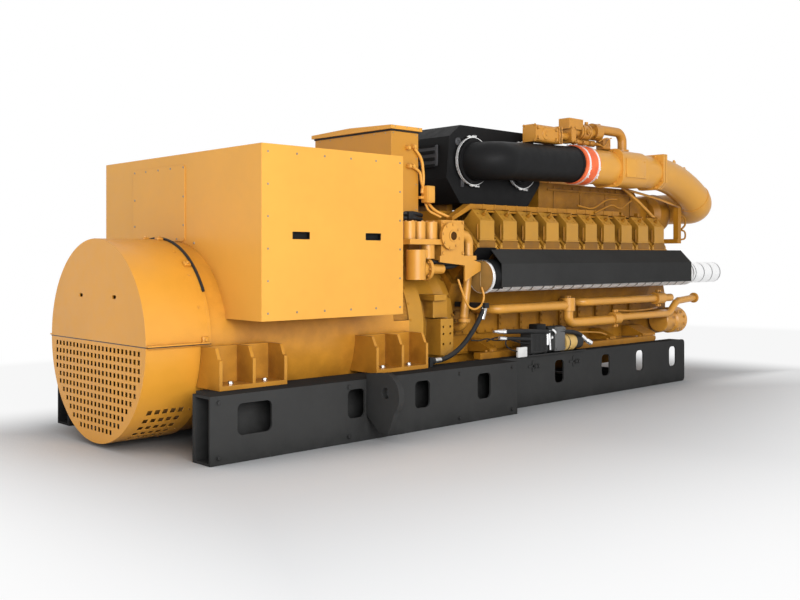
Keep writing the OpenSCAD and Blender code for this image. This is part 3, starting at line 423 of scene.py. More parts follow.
def tube(line, radius, sides=12):
    heading = (line[1] - line[0]).normalized()
    turn = heading.to_track_quat("Z", "Y").to_matrix().to_4x4()
    ring = bmesh.ops.create_circle(bm, cap_ends=True, segments=sides, radius=radius,
                                   matrix=Matrix.Translation(line[0]) @ turn)["verts"]
    rim = list({e for v in ring for e in v.link_edges})
    for here, there, after in zip(line, line[1:], line[2:] + [None]):
        grown = bmesh.ops.extrude_edge_only(bm, edges=rim)["geom"]
        ring = [g for g in grown if isinstance(g, bmesh.types.BMVert)]
        rim = [g for g in grown if isinstance(g, bmesh.types.BMEdge) and all(v in ring for v in g.verts)]
        ahead = (there - here).normalized()
        ahead = (ahead + (after - there).normalized()).normalized() if after else ahead
        bmesh.ops.rotate(bm, verts=ring, cent=here, matrix=heading.rotation_difference(ahead).to_matrix())
        bmesh.ops.translate(bm, verts=ring, vec=there - here)
        heading = ahead
    bmesh.ops.edgeloop_fill(bm, edges=rim)


def round_shaft(degrees):
    turn = math.radians(degrees)
    return Vector((0, math.sin(turn), math.cos(turn)))


# A black edging strip laid over the seam behind the drum
screw_x, lug_x, edging_x = 344, 362, 398
seam_turn, seam_steps = 61, 48
seam = [round_shaft(seam_turn * (2 * i / seam_steps - 1)) * 0.595 for i in range(seam_steps + 1)]
tube([at(edging_x, 0, shaft) + arm for arm in seam], 0.0085, sides=10)
piece("drum_seam_edging", black_rubber)

# Small cast lugs round the drum's seam, each with its bolt
lug_size = (0.042, 0.034, 0.022)
for degrees in (-42, 42, -88, 88, -8, 8):
    out = round_shaft(degrees)
    foot = at(lug_x, 0, shaft) + out * (drum_r / 1000)
    stance = Matrix((along_set, along_set.cross(out), out)).transposed().to_4x4()
    soften(block(foot + out * 0.004, lug_size, stance), 0.004)
    hex_bolt(foot + out * 0.015, out, 0.009)
piece("drum_seam_lugs", drum_enamel)


def bolt_ring(centre, side, radius, count, out, size, start=0.0):
    for i in range(count):
        turn = math.tau * (i + start) / count
        arm = side * math.sin(turn) + upward * math.cos(turn)
        hex_bolt(centre + arm * (radius / 1000), out or arm, size)


# Screws through the drum's seam, all the way round
bolt_ring(at(screw_x, 0, shaft), across_set, drum_r, 18, None, 0.0055, 0.5)
piece("drum_seam_screws", drum_enamel)

# Curved guards of perforated sheet in the barrel's side openings
guard_r, guard_length = barrel_r - 7, 134
guard_low, guard_high = math.asin(62 / barrel_r), math.asin(290 / barrel_r)
bmesh.ops.create_grid(bm, x_segments=15, y_segments=26, size=0.5)
kept = bmesh.ops.inset_individual(bm, faces=bm.faces[:], thickness=0.006, use_even_offset=True)["faces"]
bmesh.ops.delete(bm, geom=[f for f in bm.faces if f not in kept], context="FACES")
for v in bm.verts:
    lift = guard_low + (guard_high - guard_low) * (v.co.y + 0.5)
    v.co = at(1890 + guard_length * v.co.x, -guard_r * math.cos(lift), shaft + guard_r * math.sin(lift))
bmesh.ops.recalc_face_normals(bm, faces=bm.faces)
bmesh.ops.solidify(bm, geom=bm.faces[:], thickness=0.002)
both_sides()
piece("barrel_guards", drum_enamel)


def bare_surface(colour, roughness, height, strength, depth, metallic):
    shade = shade_inputs()
    link(colour, shade["Base Color"])
    link(roughness, shade["Roughness"])
    link(bump(height, strength, depth), shade["Normal"])
    shade["Metallic"].default_value = metallic


# Bright zinc hex bolts and washers that hold the feet down on the rails
zinc = new_finish("zinc_plate")
place = object_place()
spangle = node("TexVoronoi", {"Vector": place, "Scale": 160.0}).outputs["Distance"]
haze = noise(place, 30.0, 4.0)
tone = blend(fade(haze, 0.35, 0.65), (0.62, 0.61, 0.58, 1), (0.42, 0.4, 0.36, 1))
tone = blend(fade(spangle, 0.0, 0.6, 0.0, 0.3), tone, (0.8, 0.8, 0.8, 1))
bare_surface(tone, fade(haze, 0.3, 0.7, 0.28, 0.5), spangle, 0.3, 0.0002, 1)
foot_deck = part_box("alternator_feet")[0].z * 1000 + 25
bolt_rows((460, 690, 1604, 1834), (-700,), (foot_deck,), upward, 0.015)
both_sides()
piece("foot_bolts", zinc)

# ---- Terminal box ----
# A folded sheet-steel box over the alternator, closed by screwed side panels with hand
# holds and by a low access panel on its end. Its yellow is the unshaded paint colour.
yellow_enamel = enamel("yellow_enamel", (0.785, 0.378, 0.06), 0.36, drift=0.035, shade_and_dirt=0.4, reach=0.1,
                       shade_and_dirt_colour=(0.32, 0.11, 0.012), dust=0.03, coat=0.05, shine=0.3)
dress(yellow_enamel, "terminal_box", "box_side_panels", "box_access_panel")
screw_zinc = enamel("dulled_screw", (0.30, 0.24, 0.17), 0.45, drift=0.2, worn=(0.9, 0.9, 0.9), wear=0.2, shade_and_dirt=0.2)


def pan_screw(place, out, size):
    round_bar(place - out * 0.001, place + out * size * 0.45, size, tip=size * 0.72, sides=12)


low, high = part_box("box_side_panels")
panel_long, panel_high, inset = high.x - low.x, high.z - low.z, 0.043
for i in range(6):
    for k in range(6):
        if i in (0, 5) or k in (0, 5):
            place = Vector((low.x + inset + i * (panel_long - 0.069) / 5, low.y,
                            low.z + inset + k * (panel_high - 0.087) / 5))
            pan_screw(place, outward, 0.0075)
both_sides()
access_panel = mm_along(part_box("box_access_panel")[0].x)
for y, z in ((496, 1637), (351, 1637), (196, 1637), (46, 1637), (-106, 1637), (-106, 1460), (-106, 1287),
             (-30, 1203), (496, 1460), (496, 1290), (415, 1203)):
    pan_screw(at(access_panel, y, z), -along_set, 0.0075)
pan_screw(at(mm_along(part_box("terminal_box")[0].x), -219, 1177), -along_set, 0.009)
piece("box_screws", screw_zinc)

# Black moulded cups let into the side panels as hand holds
black_plastic = enamel("black_moulding", (0.009, 0.009, 0.0094), 0.5, worn=(0.05, 0.05, 0.052), shade_and_dirt=0.4,
                       shade_and_dirt_colour=(0.002, 0.002, 0.002), skin=0.0003, shine=0.12)
cup_size = (0.122, 0.027, 0.041)
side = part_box("box_side_panels")[0].y * 1000
for x in (792, 1337):
    corners = block(at(x, side + 14.5, 1215.5), cup_size)
    mouth = min({f for v in corners for f in v.link_faces}, key=lambda f: f.calc_center_median().y)
    bmesh.ops.inset_region(bm, faces=[mouth], thickness=0.004, depth=0)
    bmesh.ops.inset_region(bm, faces=[mouth], thickness=0.003, depth=-0.022)
both_sides()
piece("hand_hold_cups", black_plastic)

# ---- Control cabinet ----
# A sheet-steel cabinet with an overhanging lid on a cast stand over the flywheel. Its
# conduits are flexible tube in screwed glands, run down into the engine's wiring box.
dress(shaded_yellow_enamel, "control_cabinet")
dress(yellow_enamel, "cabinet_lid")


def rounded_line(points, bend):
    line, parts = [points[0]], [i / 6 for i in range(7)]
    for before, corner, after in zip(points, points[1:], points[2:]):
        to_before, to_after = before - corner, after - corner
        reach = min(bend, to_before.length * 0.48, to_after.length * 0.48)
        first, last = corner + to_before.normalized() * reach, corner + to_after.normalized() * reach
        line += [first.lerp(corner, t).lerp(corner.lerp(last, t), t) for t in parts]
    return line + [points[-1]]


def pipe(points, radius, bend=40, sides=12):
    tube(rounded_line([at(*p) for p in points], bend / 1000), radius / 1000, sides)


def union_nut(start, stop, size, sides=6):
    round_bar(at(*start), at(*stop), size / 1000, sides=sides)


low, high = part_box("control_cabinet")
door = low.y * 1000
face = door - 6
pipe([(2142, face, 1861), (2221, face - 8, 1787), (2238, face - 10, 1642), (2221, face - 8, 1540)], 11, 60)
pipe([(2131, face, 1724), (2198, face - 18, 1689), (2204, face - 18, 1624), (2238, face - 14, 1560)], 10, 50)
pipe([(2280, face - 10, 1473), (2296, face - 60, 1418), (2405, face - 130, 1364)], 11, 40)
pipe([(2260, face - 4, 1473), (2262, face - 30, 1418), (2330, face - 90, 1372)], 9, 40)
for x, z in ((2088, 1850), (2142, 1861), (2099, 1723), (2131, 1724)):
    union_nut((x, face + 8, z), (x, face - 18, z), 17)
    union_nut((x, face - 18, z), (x, face - 26, z), 13, 14)
piece("cabinet_conduits", yellow_enamel)

# A small cast junction box with a screwed cover, held off the cabinet's side
plate(at(2227, face + 8, 1473), at(2302, face - 60, 1593), 0.006)
plate(at(2233, face - 59, 1479), at(2296, face - 64, 1587), 0.002)
for x in (2242, 2287):
    for z in (1489, 1577):
        pan_screw(at(x, face - 64, z), outward, 0.005)
plate(at(2199, face + 8, 1500), at(2232, face - 20, 1520), 0.002)
piece("wiring_box", yellow_enamel)

# Two rubber cables in a clamp at the cabinet's foot
for z in (1362, 1394):
    pipe([(2040, face + 30, z), (2120, face - 20, z + 4), (2170, face - 26, z - 4),
          (2216, face - 6, z - 8)], 15, 30)
plate(at(2077, face - 2, 1350), at(2150, face - 30, 1408), 0.008)
piece("cabinet_base_cables", black_rubber)

# The black sealing strip under the lid's overhang
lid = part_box("cabinet_lid")[0]
plate(Vector((low.x - 0.006, low.y - 0.006, lid.z - 0.012)),
      Vector((high.x + 0.006, high.y + 0.006, lid.z - 0.001)), 0.001, 1)
piece("cabinet_lid_seal", black_rubber)

# Screws through the cabinet's near and far doors and round the lid's edge
for x in (1960, 2180):
    for z in (1425, 1600, 1780, 1945):
        pan_screw(at(x, door, z), outward, 0.0055)
for x in (1960, 2070, 2180):
    pan_screw(at(x, lid.y * 1000, 1990), outward, 0.0055)
both_sides()
for y in range(-360, 361, 120):
    for z in (1425, 1945):
        pan_screw(at(mm_along(low.x), y, z), -along_set, 0.0055)
piece("cabinet_screws", screw_zinc)

# ---- Flywheel housing and crankcase ----
# Grey iron castings, shot-blasted and painted as they stand: flywheel housing, crankcase,
# sump, heads, front case and brackets. The skin keeps the grain of the sand mould.
# The engine's and the covers' enamels are the yellow paint darkened as painted shade for the deeper, less lit
# engine
shaded_engine_enamel = enamel("shaded_engine_enamel", (0.48, 0.205, 0.014), 0.46, drift=0.1, worn=(0.66, 0.34, 0.07), wear=0.35,
                       shade_and_dirt=0.95, reach=0.3, shade_and_dirt_colour=(0.035, 0.012, 0.001), cast=110.0, shine=0.3)
shaded_cover_enamel = enamel("shaded_cover_enamel", (0.52, 0.25, 0.026), 0.42, worn=(0.74, 0.44, 0.12), wear=0.5, reach=0.2,
                      shade_and_dirt_colour=(0.06, 0.02, 0.002), cast=140.0, cast_depth=0.0003, shine=0.4)
dress(shaded_engine_enamel, "cabinet_stand", "crankcase", "oil_pan", "engine_rails", "crankcase_doors", "charge_plenum",
      "charge_cooler", "air_cleaner_stand", "turbocharger", "front_case", "wiring_ducts")
dress(shaded_cover_enamel, "flywheel_housing")

first_cylinder, pitch, cylinders = 2622, 250, 10
stations = [first_cylinder + i * pitch for i in range(cylinders)]
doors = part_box("crankcase_doors")[0].y * 1000
pan_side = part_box("oil_pan")[0].y * 1000 - 10
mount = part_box("engine_rails")[0].y * 1000 + 26
for x in stations:
    bolt_rows((x - 80, x, x + 80), (doors,), (543, 683), outward, 0.0085)
    bolt_rows((x - 80,), (doors,), (590, 636), outward, 0.0085)
bolt_rows(range(2560, 4980, 110), (pan_side,), (412,), outward, 0.008)
for x in (2696, 3446, 4196, 4683):
    bolt_rows((x - 34, x + 34), (mount,), (412,), upward, 0.014)
both_sides()
piece("crankcase_bolts", shaded_engine_enamel)

# Rings of bolts on the barrel's flange and on both faces of the flywheel housing
barrel_flange, housing_back, housing_front = 1975, 2110, 2440
for x, radius, count in ((barrel_flange, 570, 32), (housing_back, 522, 24), (housing_front, 522, 24)):
    bolt_ring(at(x, 0, shaft), across_set, radius, count, None, 0.009, 0.5)
piece("flywheel_bolts", shaded_engine_enamel)

# ---- Cylinder heads and rocker covers ----
# One iron head and one canted aluminium cover to each cylinder. The cover's flange has a
# cap screw at each corner, and an ignition lead comes down to it from the wiring duct.
dress(shaded_engine_enamel, "cylinder_heads_near", "cylinder_heads_far")
dress(shaded_cover_enamel, "rocker_covers_near", "rocker_covers_far")
head_top, cover_top, cover_front, cap_across = 872, 1010, 688, -95


def bank(x, along, across):
    corner = math.sqrt(0.5)
    return at(x, -(along + across) * corner, shaft + (along - across) * corner)


cylinder_axis = (bank(0, 1000, 0) - bank(0, 0, 0)).normalized()
for x in stations:
    for step in (-91, 91):
        for across in (-120, -20, 75):
            hex_bolt(bank(x + step, head_top + 16, across), cylinder_axis, 0.0085)
    for across in (-110, -60):
        for step in (-44, 44):
            hex_bolt(bank(x + step, cover_top, across), cylinder_axis, 0.007)
both_sides()
piece("cover_bolts", shaded_cover_enamel)

# A small steel riser stands in each gap between the covers
for x in stations:
    for step in (-76, 76):
        round_bar(at(x + step, -662, 1216), at(x + step, -662, 1326), 0.006, sides=12)
both_sides()
piece("cover_risers", shaded_engine_enamel)

# The cover's flange stands proud along its foot
for x in stations:
    plate(at(x - 88, -cover_front + 10, 1210), at(x + 88, -cover_front - 5, 1219), 0.0015, 1)
both_sides()
piece("cover_flanges", shaded_cover_enamel)

# Dark bands under every cover paint the shade that the covers cast on the heads
painted_shade_enamel = enamel("painted_shade_enamel", (0.25, 0.11, 0.012), 0.5, drift=0.25, worn=(0.5, 0.26, 0.05), reach=0.2,
                        shade_and_dirt_colour=(0.03, 0.01, 0.001), cast=110.0, shine=0.3)
for x in stations:
    plate(at(x - 84, -cover_front + 8, 1153), at(x + 84, -cover_front - 1, 1210), 0.0008, 1)
both_sides()
piece("painted_shade_under_covers", painted_shade_enamel)

# An ignition coil's cap on each cover, and the lead from it up to the wiring duct
duct_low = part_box("wiring_ducts")[1].z * 1000 - 40
for x in stations:
    top = bank(x, cover_top, cap_across)
    round_bar(top - cylinder_axis * 0.004, top + cylinder_axis * 0.014, 0.015, sides=16)
    round_bar(top + cylinder_axis * 0.014, top + cylinder_axis * 0.028, 0.009, sides=12)
both_sides()
piece("ignition_caps", shaded_engine_enamel)
for x in stations:
    y, z = (bank(x, cover_top + 28, cap_across) * 1000).yz
    pipe([(x, y, z - 6), (x + 2, y - 4, z + 12), (x + 20, y + 2, z + 18), (x + 44, -530, duct_low + 8)],
         4.5, 16, 8)
both_sides()
piece("ignition_leads", shaded_engine_enamel)

# ---- Wiring ducts ----
# Pressed steel trough along each bank with two clips to every cylinder and thin steel
# lines beside it. All of it is painted with the engine.
low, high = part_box("wiring_ducts")
edge, duct_top = low.y * 1000, high.z * 1000
for x in range(2700, 4420, 125):
    plate(at(x - 9, edge - 3, duct_top - 42), at(x + 9, edge + 74, duct_top + 2.5), 0.001, 1)
    plate(at(x - 9, edge - 3, duct_top - 66), at(x + 9, edge + 1, duct_top - 38), 0.001, 1)
    hex_bolt(at(x, edge - 3, duct_top - 56), outward, 0.006)
both_sides()
piece("duct_clips", shaded_engine_enamel)

# The thin fuel and air lines beside and over the ducts
pipe([(3862, -560, 1507), (4054, -566, 1482), (4270, -560, 1575), (4420, -556, 1581)], 9, 60)
pipe([(4054, -590, 1452), (4307, -584, 1534), (4439, -576, 1495), (4631, -562, 1579)], 8, 60)
pipe([(2620, -596, 1422), (3400, -596, 1420), (4200, -596, 1416), (4700, -590, 1400)], 8, 60)
pipe([(4420, -545, 1456), (4560, -540, 1440), (4760, -520, 1400), (4980, -500, 1392)], 10, 60)
both_sides()
piece("fuel_and_air_lines", shaded_engine_enamel)

# Stays of steel tube from the cooler down to the front of each bank
pipe_enamel = enamel("pipe_enamel", (0.72, 0.335, 0.046), 0.38, drift=0.06, reach=0.25,
                     shade_and_dirt_colour=(0.07, 0.022, 0.002), coat=0.1)
pipe([(4651, -470, 1690), (4810, -520, 1575), (5030, -562, 1412)], 15, 30, 8)
pipe([(4631, -470, 1689), (5100, -540, 1612), (5602, -560, 1522)], 11, 60, 8)
both_sides()
piece("cooler_stays", pipe_enamel)

# ---- Exhaust ----
# Iron manifolds lagged in overlapped turns of aluminium foil blanket, a black folded
# shield hung in front of each, and thin stainless bellows at the outlet.
dress(black_enamel, "heat_shield_near", "heat_shield_far")
low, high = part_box("exhaust_manifold_near")
axis_y, axis_z = (low.y + high.y) / 2, (low.z + high.z) / 2
cap_x = mm_along(low.x)

# Foil: one turn of the wrap to every 125 mm, with painted shade where a lap tucks in, creased all over
foil = new_finish("foil_lagging")
place = object_place()
axes = axes_of(place)
out_of_axis = maths("SUBTRACT", maths("ABSOLUTE", axes["Y"]), -axis_y)
over_axis = maths("SUBTRACT", axes["Z"], axis_z)
turn = maths("DIVIDE", maths("ARCTAN2", over_axis, out_of_axis), math.tau)
warp = noise(place, 14.0, 3.0)
along = maths("MULTIPLY_ADD", warp, 0.16, maths("MULTIPLY", axes["X"], 8.0))
lap = maths("FRACT", maths("ADD", along, turn))
lap_shade = maths("MAXIMUM", fade(lap, 0.02, 0.08, 1.0, 0.0), fade(lap, 0.9, 0.98))
slanted = {"Vector": place, "Scale": (1.0, 2.2, 2.2), "Rotation": (0, 0.5, 0.4)}
stretched = node("Mapping", slanted).outputs[0]
creases = node("TexVoronoi", {"Vector": stretched, "Scale": 26.0}, feature="DISTANCE_TO_EDGE").outputs["Distance"]
fine = noise(stretched, 60.0, 5.0, Roughness=0.65)
silver = blend(fade(fine, 0.46, 0.66), (0.98, 0.97, 0.96, 1), (0.74, 0.7, 0.66, 1))
silver = blend(lap_shade, silver, (0.03, 0.026, 0.022, 1))
height = maths("ADD", fade(creases, 0.0, 0.12), maths("MULTIPLY", fine, 0.7))
height = maths("SUBTRACT", height, maths("MULTIPLY", lap_shade, 1.6))
bare_surface(silver, fade(fine, 0.3, 0.7, 0.3, 0.55), height, 0.9, 0.004, 0.0)
dress(foil, "exhaust_manifold_near", "exhaust_manifold_far")


def polished(place):
    lines = noise(place, 130.0, 3.0)
    tone = blend(fade(lines, 0.35, 0.65), (0.99, 0.99, 0.99, 1), (0.9, 0.9, 0.9, 1))
    return tone, fade(lines, 0.3, 0.7, 0.22, 0.36), lines


# Thin stainless bellows: polished crests, with painted shade in the roots between them
bellows_steel = new_finish("bellows_steel")
place = object_place()
axes = axes_of(place)
low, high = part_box("exhaust_bellows")
bellows_z, crest_r = (low.z + high.z) / 2, (high.z - low.z) / 2
off_side = maths("SUBTRACT", maths("ABSOLUTE", axes["Y"]), high.y - crest_r)
reach = reach_of(off_side, maths("SUBTRACT", axes["Z"], bellows_z))
root = fade(reach, crest_r - 0.008, crest_r - 0.003, 1.0, 0.0)
crest, gloss, lines = polished(place)
bare_surface(blend(root, crest, (0.05, 0.05, 0.055, 1)), gloss, lines, 0.25, 0.0003, 0.9)
dress(bellows_steel, "exhaust_bellows")


def turned(place, axis, profile, steps=40):
    side = axis.orthogonal().normalized()
    points = [bm.verts.new(place + axis * along + side * out) for along, out in profile]
    edges = [bm.edges.new(pair) for pair in zip(points, points[1:])]
    bmesh.ops.spin(bm, geom=points + edges, cent=place, axis=axis, angle=math.tau, steps=steps, use_merge=True)


def band(back, front, inner, outer):
    return [(back, inner), (back, outer), (front, outer), (front, inner), (back, inner)]


# The manifold's dished tan end cap with its cast rib
heat_tan = enamel("heat_tanned_cap", (0.36, 0.205, 0.055), 0.55, drift=0.25, worn=(0.6, 0.45, 0.3), wear=0.4,
                  shade_and_dirt=0.4, dust=0.05, cast=70.0)
axis_y, axis_z = axis_y * 1000, axis_z * 1000
cap_centre = at(cap_x, axis_y, axis_z)
dish = [(-0.010, 0), (-0.012, 0.03), (-0.006, 0.09), (-0.003, 0.112), (0.001, 0.112), (0.001, 0)]
turned(cap_centre, along_set, dish)
plate(cap_centre + Vector((-0.014, -0.003, -0.07)), cap_centre + Vector((-0.006, 0.003, 0.03)), 0.001, 1)
both_sides()
piece("manifold_end_caps", heat_tan)

# A bright rolled rim holds the cap, and a narrow band closes the foil at each end
rolled_rim = new_finish("rolled_steel_rim")
tone, gloss, lines = polished(object_place())
bare_surface(tone, gloss, lines, 0.25, 0.0003, 0.9)
rolled = [(0.016, 0.1125), (-0.003, 0.1125), (-0.007, 0.1145), (-0.007, 0.1175), (-0.003, 0.1195),
          (0.016, 0.1195), (0.016, 0.1125)]
turned(cap_centre, along_set, rolled, 56)
for x in (2631, 5250):
    turned(at(x, axis_y, axis_z), along_set, band(0, 0.012, 0.108, 0.1105), 48)
both_sides()
piece("manifold_rims", rolled_rim)

# Rivets along the shield's fold
shield_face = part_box("heat_shield_near")[0].y * 1000
for x in range(2700, 5200, 310):
    round_bar(at(x, shield_face + 1, 1025), at(x, shield_face - 1.5, 1025), 0.006, tip=0.004, sides=10)
both_sides()
piece("shield_rivets", black_enamel)

# A near-black sheet up the heads' sloping side and over the manifold's end puts painted shade in the gap behind
# the shield
wrap_start, wrap_stop, wrap_inner, wrap_outer = cap_x + 17, 2700, 0.1212, 0.1232
corner = -math.sqrt(0.5)
block(at(2600, -655, 1105), (0.2, 0.15, 0.004), Matrix.Rotation(math.radians(-45), 4, "X"))
wrap_edge = [bm.verts.new(at(x, axis_y, axis_z) + Vector((0, corner, corner)) * reach)
             for x, reach in ((wrap_start, wrap_inner), (wrap_stop, wrap_inner), (wrap_stop, wrap_outer),
                              (wrap_start, wrap_outer))]
bmesh.ops.spin(bm, geom=[bm.faces.new(wrap_edge)], cent=at(2600, axis_y, axis_z), axis=along_set,
               angle=math.radians(-175), steps=24)
both_sides()
piece("shield_gap_shade_sheet", black_plastic)

# ---- Charge air ----
# A cast plenum lies in the valley between the banks and carries the finned charge
# cooler in its welded casing. Both are painted with the engine and bolted along their joints.
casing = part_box("charge_cooler")[0].y * 1000
bolt_rows(range(3760, 4900, 125), (casing,), (1330, 1660), outward, 0.009)
for x in (3760, 4120, 4480, 4860):
    plate(at(x - 8, casing + 1, 1318), at(x + 8, casing - 7, 1672), 0.002, 1)
for z in (1345, 1630):
    plate(at(3670, casing + 1, z), at(4900, casing - 9, z + 17), 0.002, 1)
both_sides()
piece("cooler_ribs", shaded_engine_enamel)

# ---- Air cleaner ----
# Moulded black canister body on a welded stand, with grey latches, grey plates on its end
# and a small service port. The ducts are moulded in the same black.
dress(black_plastic, "air_cleaner", "intake_ducts")
grey_moulding = enamel("grey_moulding", (0.045, 0.046, 0.05), 0.5, worn=(0.12, 0.12, 0.12), shade_and_dirt=0.2, dust=0.12,
                       skin=0.0003)
body_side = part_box("air_cleaner")[0].y * 1000 + 42
port = [(0, 0), (0, 0.03), (0.008, 0.03), (0.012, 0.026), (0.012, 0.014), (0.004, 0.012), (0.004, 0)]
turned(at(2600, body_side, 1935), outward, port, 24)
for x in (2640, 3384):
    for z in (1640, 1900):
        plate(at(x - 14, body_side, z - 34), at(x + 14, body_side - 14, z + 34), 0.003)
        plate(at(x - 8, body_side - 13, z - 20), at(x + 8, body_side - 22, z + 26), 0.003)
both_sides()
for y in (-200, 200):
    plate(at(2500, y - 120, 1758), at(2484, y + 120, 1912), 0.004)
piece("cleaner_fittings", grey_moulding)

# ---- Couplings and clamps ----
# Orange silicone sleeves join the black ducts to the painted pipes, each gripped by two
# stainless bands, and white-metal bands hold the ducts on the cleaner's collars.
orange_silicone = new_finish("orange_silicone")
place = object_place()
cloth = noise(place, 90.0, 4.0)
mottle = noise(place, 12.0, 3.0)
wraps = node("TexWave", {"Vector": place, "Scale": 26.0, "Distortion": 0.6}, bands_direction="X")
height = maths("ADD", cloth, maths("MULTIPLY", wraps.outputs["Fac"], 0.8))
tone = blend(fade(mottle, 0.35, 0.65), (1.0, 0.19, 0.055, 1), (0.9, 0.135, 0.035, 1))
bare_surface(tone, fade(cloth, 0.3, 0.7, 0.42, 0.6), height, 0.4, 0.0006, 0.0)
dress(orange_silicone, "duct_couplings")
band_steel = new_finish("band_steel")
place = object_place()
lines = noise(place, 180.0, 2.0)
smear = fade(noise(place, 15.0, 4.0), 0.4, 0.7)
tone = blend(smear, (0.97, 0.97, 0.96, 1), (0.8, 0.79, 0.77, 1))
bare_surface(tone, fade(lines, 0.3, 0.7, 0.25, 0.4), lines, 0.2, 0.0002, 0.5)
dress(band_steel, "pipe_clamps")


def t_bolt(x, y, z, along):
    middle = at(x, y, z)
    span = Vector(along) * 0.03
    for way in (-1, 1):
        round_bar(middle + span * way * 0.55, middle + span * way * 0.95, 0.009, sides=12)
    round_bar(middle - span * 1.5, middle + span * 1.5, 0.004, sides=8)
    round_bar(middle + span * 1.5, middle + span * 1.75, 0.008, sides=6)


pipe_y, pipe_z = -620, 1826
duct_y, duct_z, duct_band = -450, 1798, 181
for x in (3740, 3861):
    t_bolt(x, pipe_y - 148, pipe_z - 62, (0, 0.38, -0.92))
    t_bolt(x, pipe_y + 20, pipe_z + 160, (0, 1, 0))
for x in (2732, 3292):
    t_bolt(x - 20, duct_y, duct_z + duct_band, (1, 0, 0.1))
    t_bolt(x + 10, duct_y, duct_z - duct_band, (1, 0, -0.05))
both_sides()
piece("band_t_bolts", band_steel)

# ---- Intake pipes and elbows ----
# Rolled steel pipe with a square gas mixer and bolted square flanges, then long swept
# elbows that meet in the crossover pipe over the turbochargers. Sprayed in box yellow.
dress(yellow_enamel, "intake_pipes", "intake_elbows", "crossover_pipe")
for step in (-70, 0, 70):
    for way in (-132, 132):
        for y, z in ((step, way), (way, step)):
            hex_bolt(at(4806, pipe_y + y, pipe_z + z), -along_set, 0.011)
for y in (-131.04, 131.04):
    for z in (-70.2, 70.2):
        for across, over in ((y, z), (z, y)):
            hex_bolt(at(4189, pipe_y + across, pipe_z + over), -along_set, 0.009)
bolt_rows((4260, 4385, 4510), (pipe_y - 150,), (pipe_z - 60, pipe_z + 60), outward, 0.009)
both_sides()
piece("intake_flange_bolts", yellow_enamel)

# A raised cover on the mixer's side, and two lugs on top of each elbow
plate(at(4240, pipe_y - 149, pipe_z - 78), at(4530, pipe_y - 156, pipe_z + 78), 0.003)
for x, z in ((5226, 1937), (5401, 1884)):
    round_bar(at(x, pipe_y, z - 22), at(x, pipe_y, z + 14), 0.016, sides=14)
    round_bar(at(x, pipe_y, z + 14), at(x, pipe_y, z + 26), 0.011, sides=6)
both_sides()
piece("mixer_covers_and_lugs", yellow_enamel)

# A clamp bolt with its small purge line on top of each crossover joint
cross_z = 1546
for way in (-1, 1):
    y = 566 * way
    round_bar(at(5660, y, cross_z + 149), at(5740, y, cross_z + 132), 0.009, sides=10)
    pipe([(5690, y, cross_z + 140), (5740, y + way * 20, cross_z + 168), (5790, y + way * 30, cross_z + 120),
          (5812, y + way * 30, cross_z + 40), (5790, y + way * 18, cross_z - 20)], 5, 60, 8)
piece("crossover_clamps", pipe_enamel)

# ---- Turbochargers and front end ----
# Turned and cast bodies bolted to the front of the engine, with the turned crank damper
# below and gear-driven water pumps on each side.
front = mm_along(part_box("front_case")[1].x)
bolt_rows((5040, 5254), (-320,), (1320, 1470, 1610), outward, 0.011)
pipe([(5422, -560, 1340), (5512, -566, 1330), (5516, -566, 1259), (5440, -560, 1250)], 8, 34)
pipe([(5380, -575, 1480), (5470, -580, 1462), (5500, -580, 1390), (5430, -575, 1345)], 9, 40)
both_sides()
bolt_ring(at(front - 80, 0, shaft), across_set, 240, 12, along_set, 0.012)
bolt_ring(at(front, 0, shaft), across_set, 60, 8, along_set, 0.011)
bolt_rows((front - 110,), range(-380, 381, 95), (420, 1060), along_set, 0.011)
bolt_rows((front - 110,), (-395, 395), range(520, 1000, 96), along_set, 0.011)
piece("front_end_bolts", shaded_engine_enamel)

# ---- Gas trains ----
# Threaded steel gas pipe with a filter, a shut-off valve under its actuator and two
# regulators over each bank, feeding the mixers. The bodies are die cast and painted.
# The yellow paint darkened as painted shade for the gas trains
shaded_gas_enamel = enamel("shaded_gas_enamel", (0.62, 0.27, 0.032), 0.4, drift=0.07, worn=(0.82, 0.46, 0.12), wear=0.35,
                    reach=0.2, shade_and_dirt_colour=(0.07, 0.022, 0.002), coat=0.05, shine=0.4)
dress(shaded_gas_enamel, "gas_trains")
gas_z = 2092
bolt_rows((3175,), (pipe_y - 54, pipe_y + 54), (1970, 2088), -along_set, 0.008)
bolt_rows((3966,), (pipe_y - 48, pipe_y + 48), (2060, 2156), -along_set, 0.008)
bolt_rows((3630, 3674), (pipe_y - 60,), (2000, 2106), outward, 0.007)
for x in (3620, 3770):
    for z in (2113, 2170):
        pan_screw(at(x, -672, z), outward, 0.006)
round_bar(at(3840, pipe_y, gas_z), at(3840, pipe_y - 72, gas_z), 0.026, sides=18)
hex_bolt(at(3840, pipe_y - 72, gas_z), outward, 0.014)
filter_cap = [(-0.004, 0), (-0.004, 0.05), (0.006, 0.05), (0.01, 0.046), (0.01, 0.02), (0.014, 0.018), (0.014, 0)]
turned(at(3300, -680, 2030), outward, filter_cap, 28)
bolt_rows((3200, 3420), (-688,), (1992, 2068), outward, 0.011)
for x in (3452, 3480):
    plate(at(x, -694, 1964), at(x + 10, -546, 2100), 0.002, 1)
for x in (3798, 3884):
    turned(at(x, pipe_y, gas_z), along_set, band(-0.008, 0.008, 0.055, 0.068), 32)
for x in (3900, 4070):
    round_bar(at(x, pipe_y, 2120), at(x, pipe_y, 2168), 0.01, sides=10)
    round_bar(at(x, pipe_y, 2160), at(x, pipe_y, 2180), 0.016, sides=6)
pipe([(3990, -676, 2025), (4040, -690, 2052), (4110, -690, 2064), (4128, -690, 2000)], 5, 24, 8)
pipe([(3960, -672, 2010), (4060, -684, 1984), (4120, -684, 2056), (4190, -660, 2070)], 5, 24, 8)
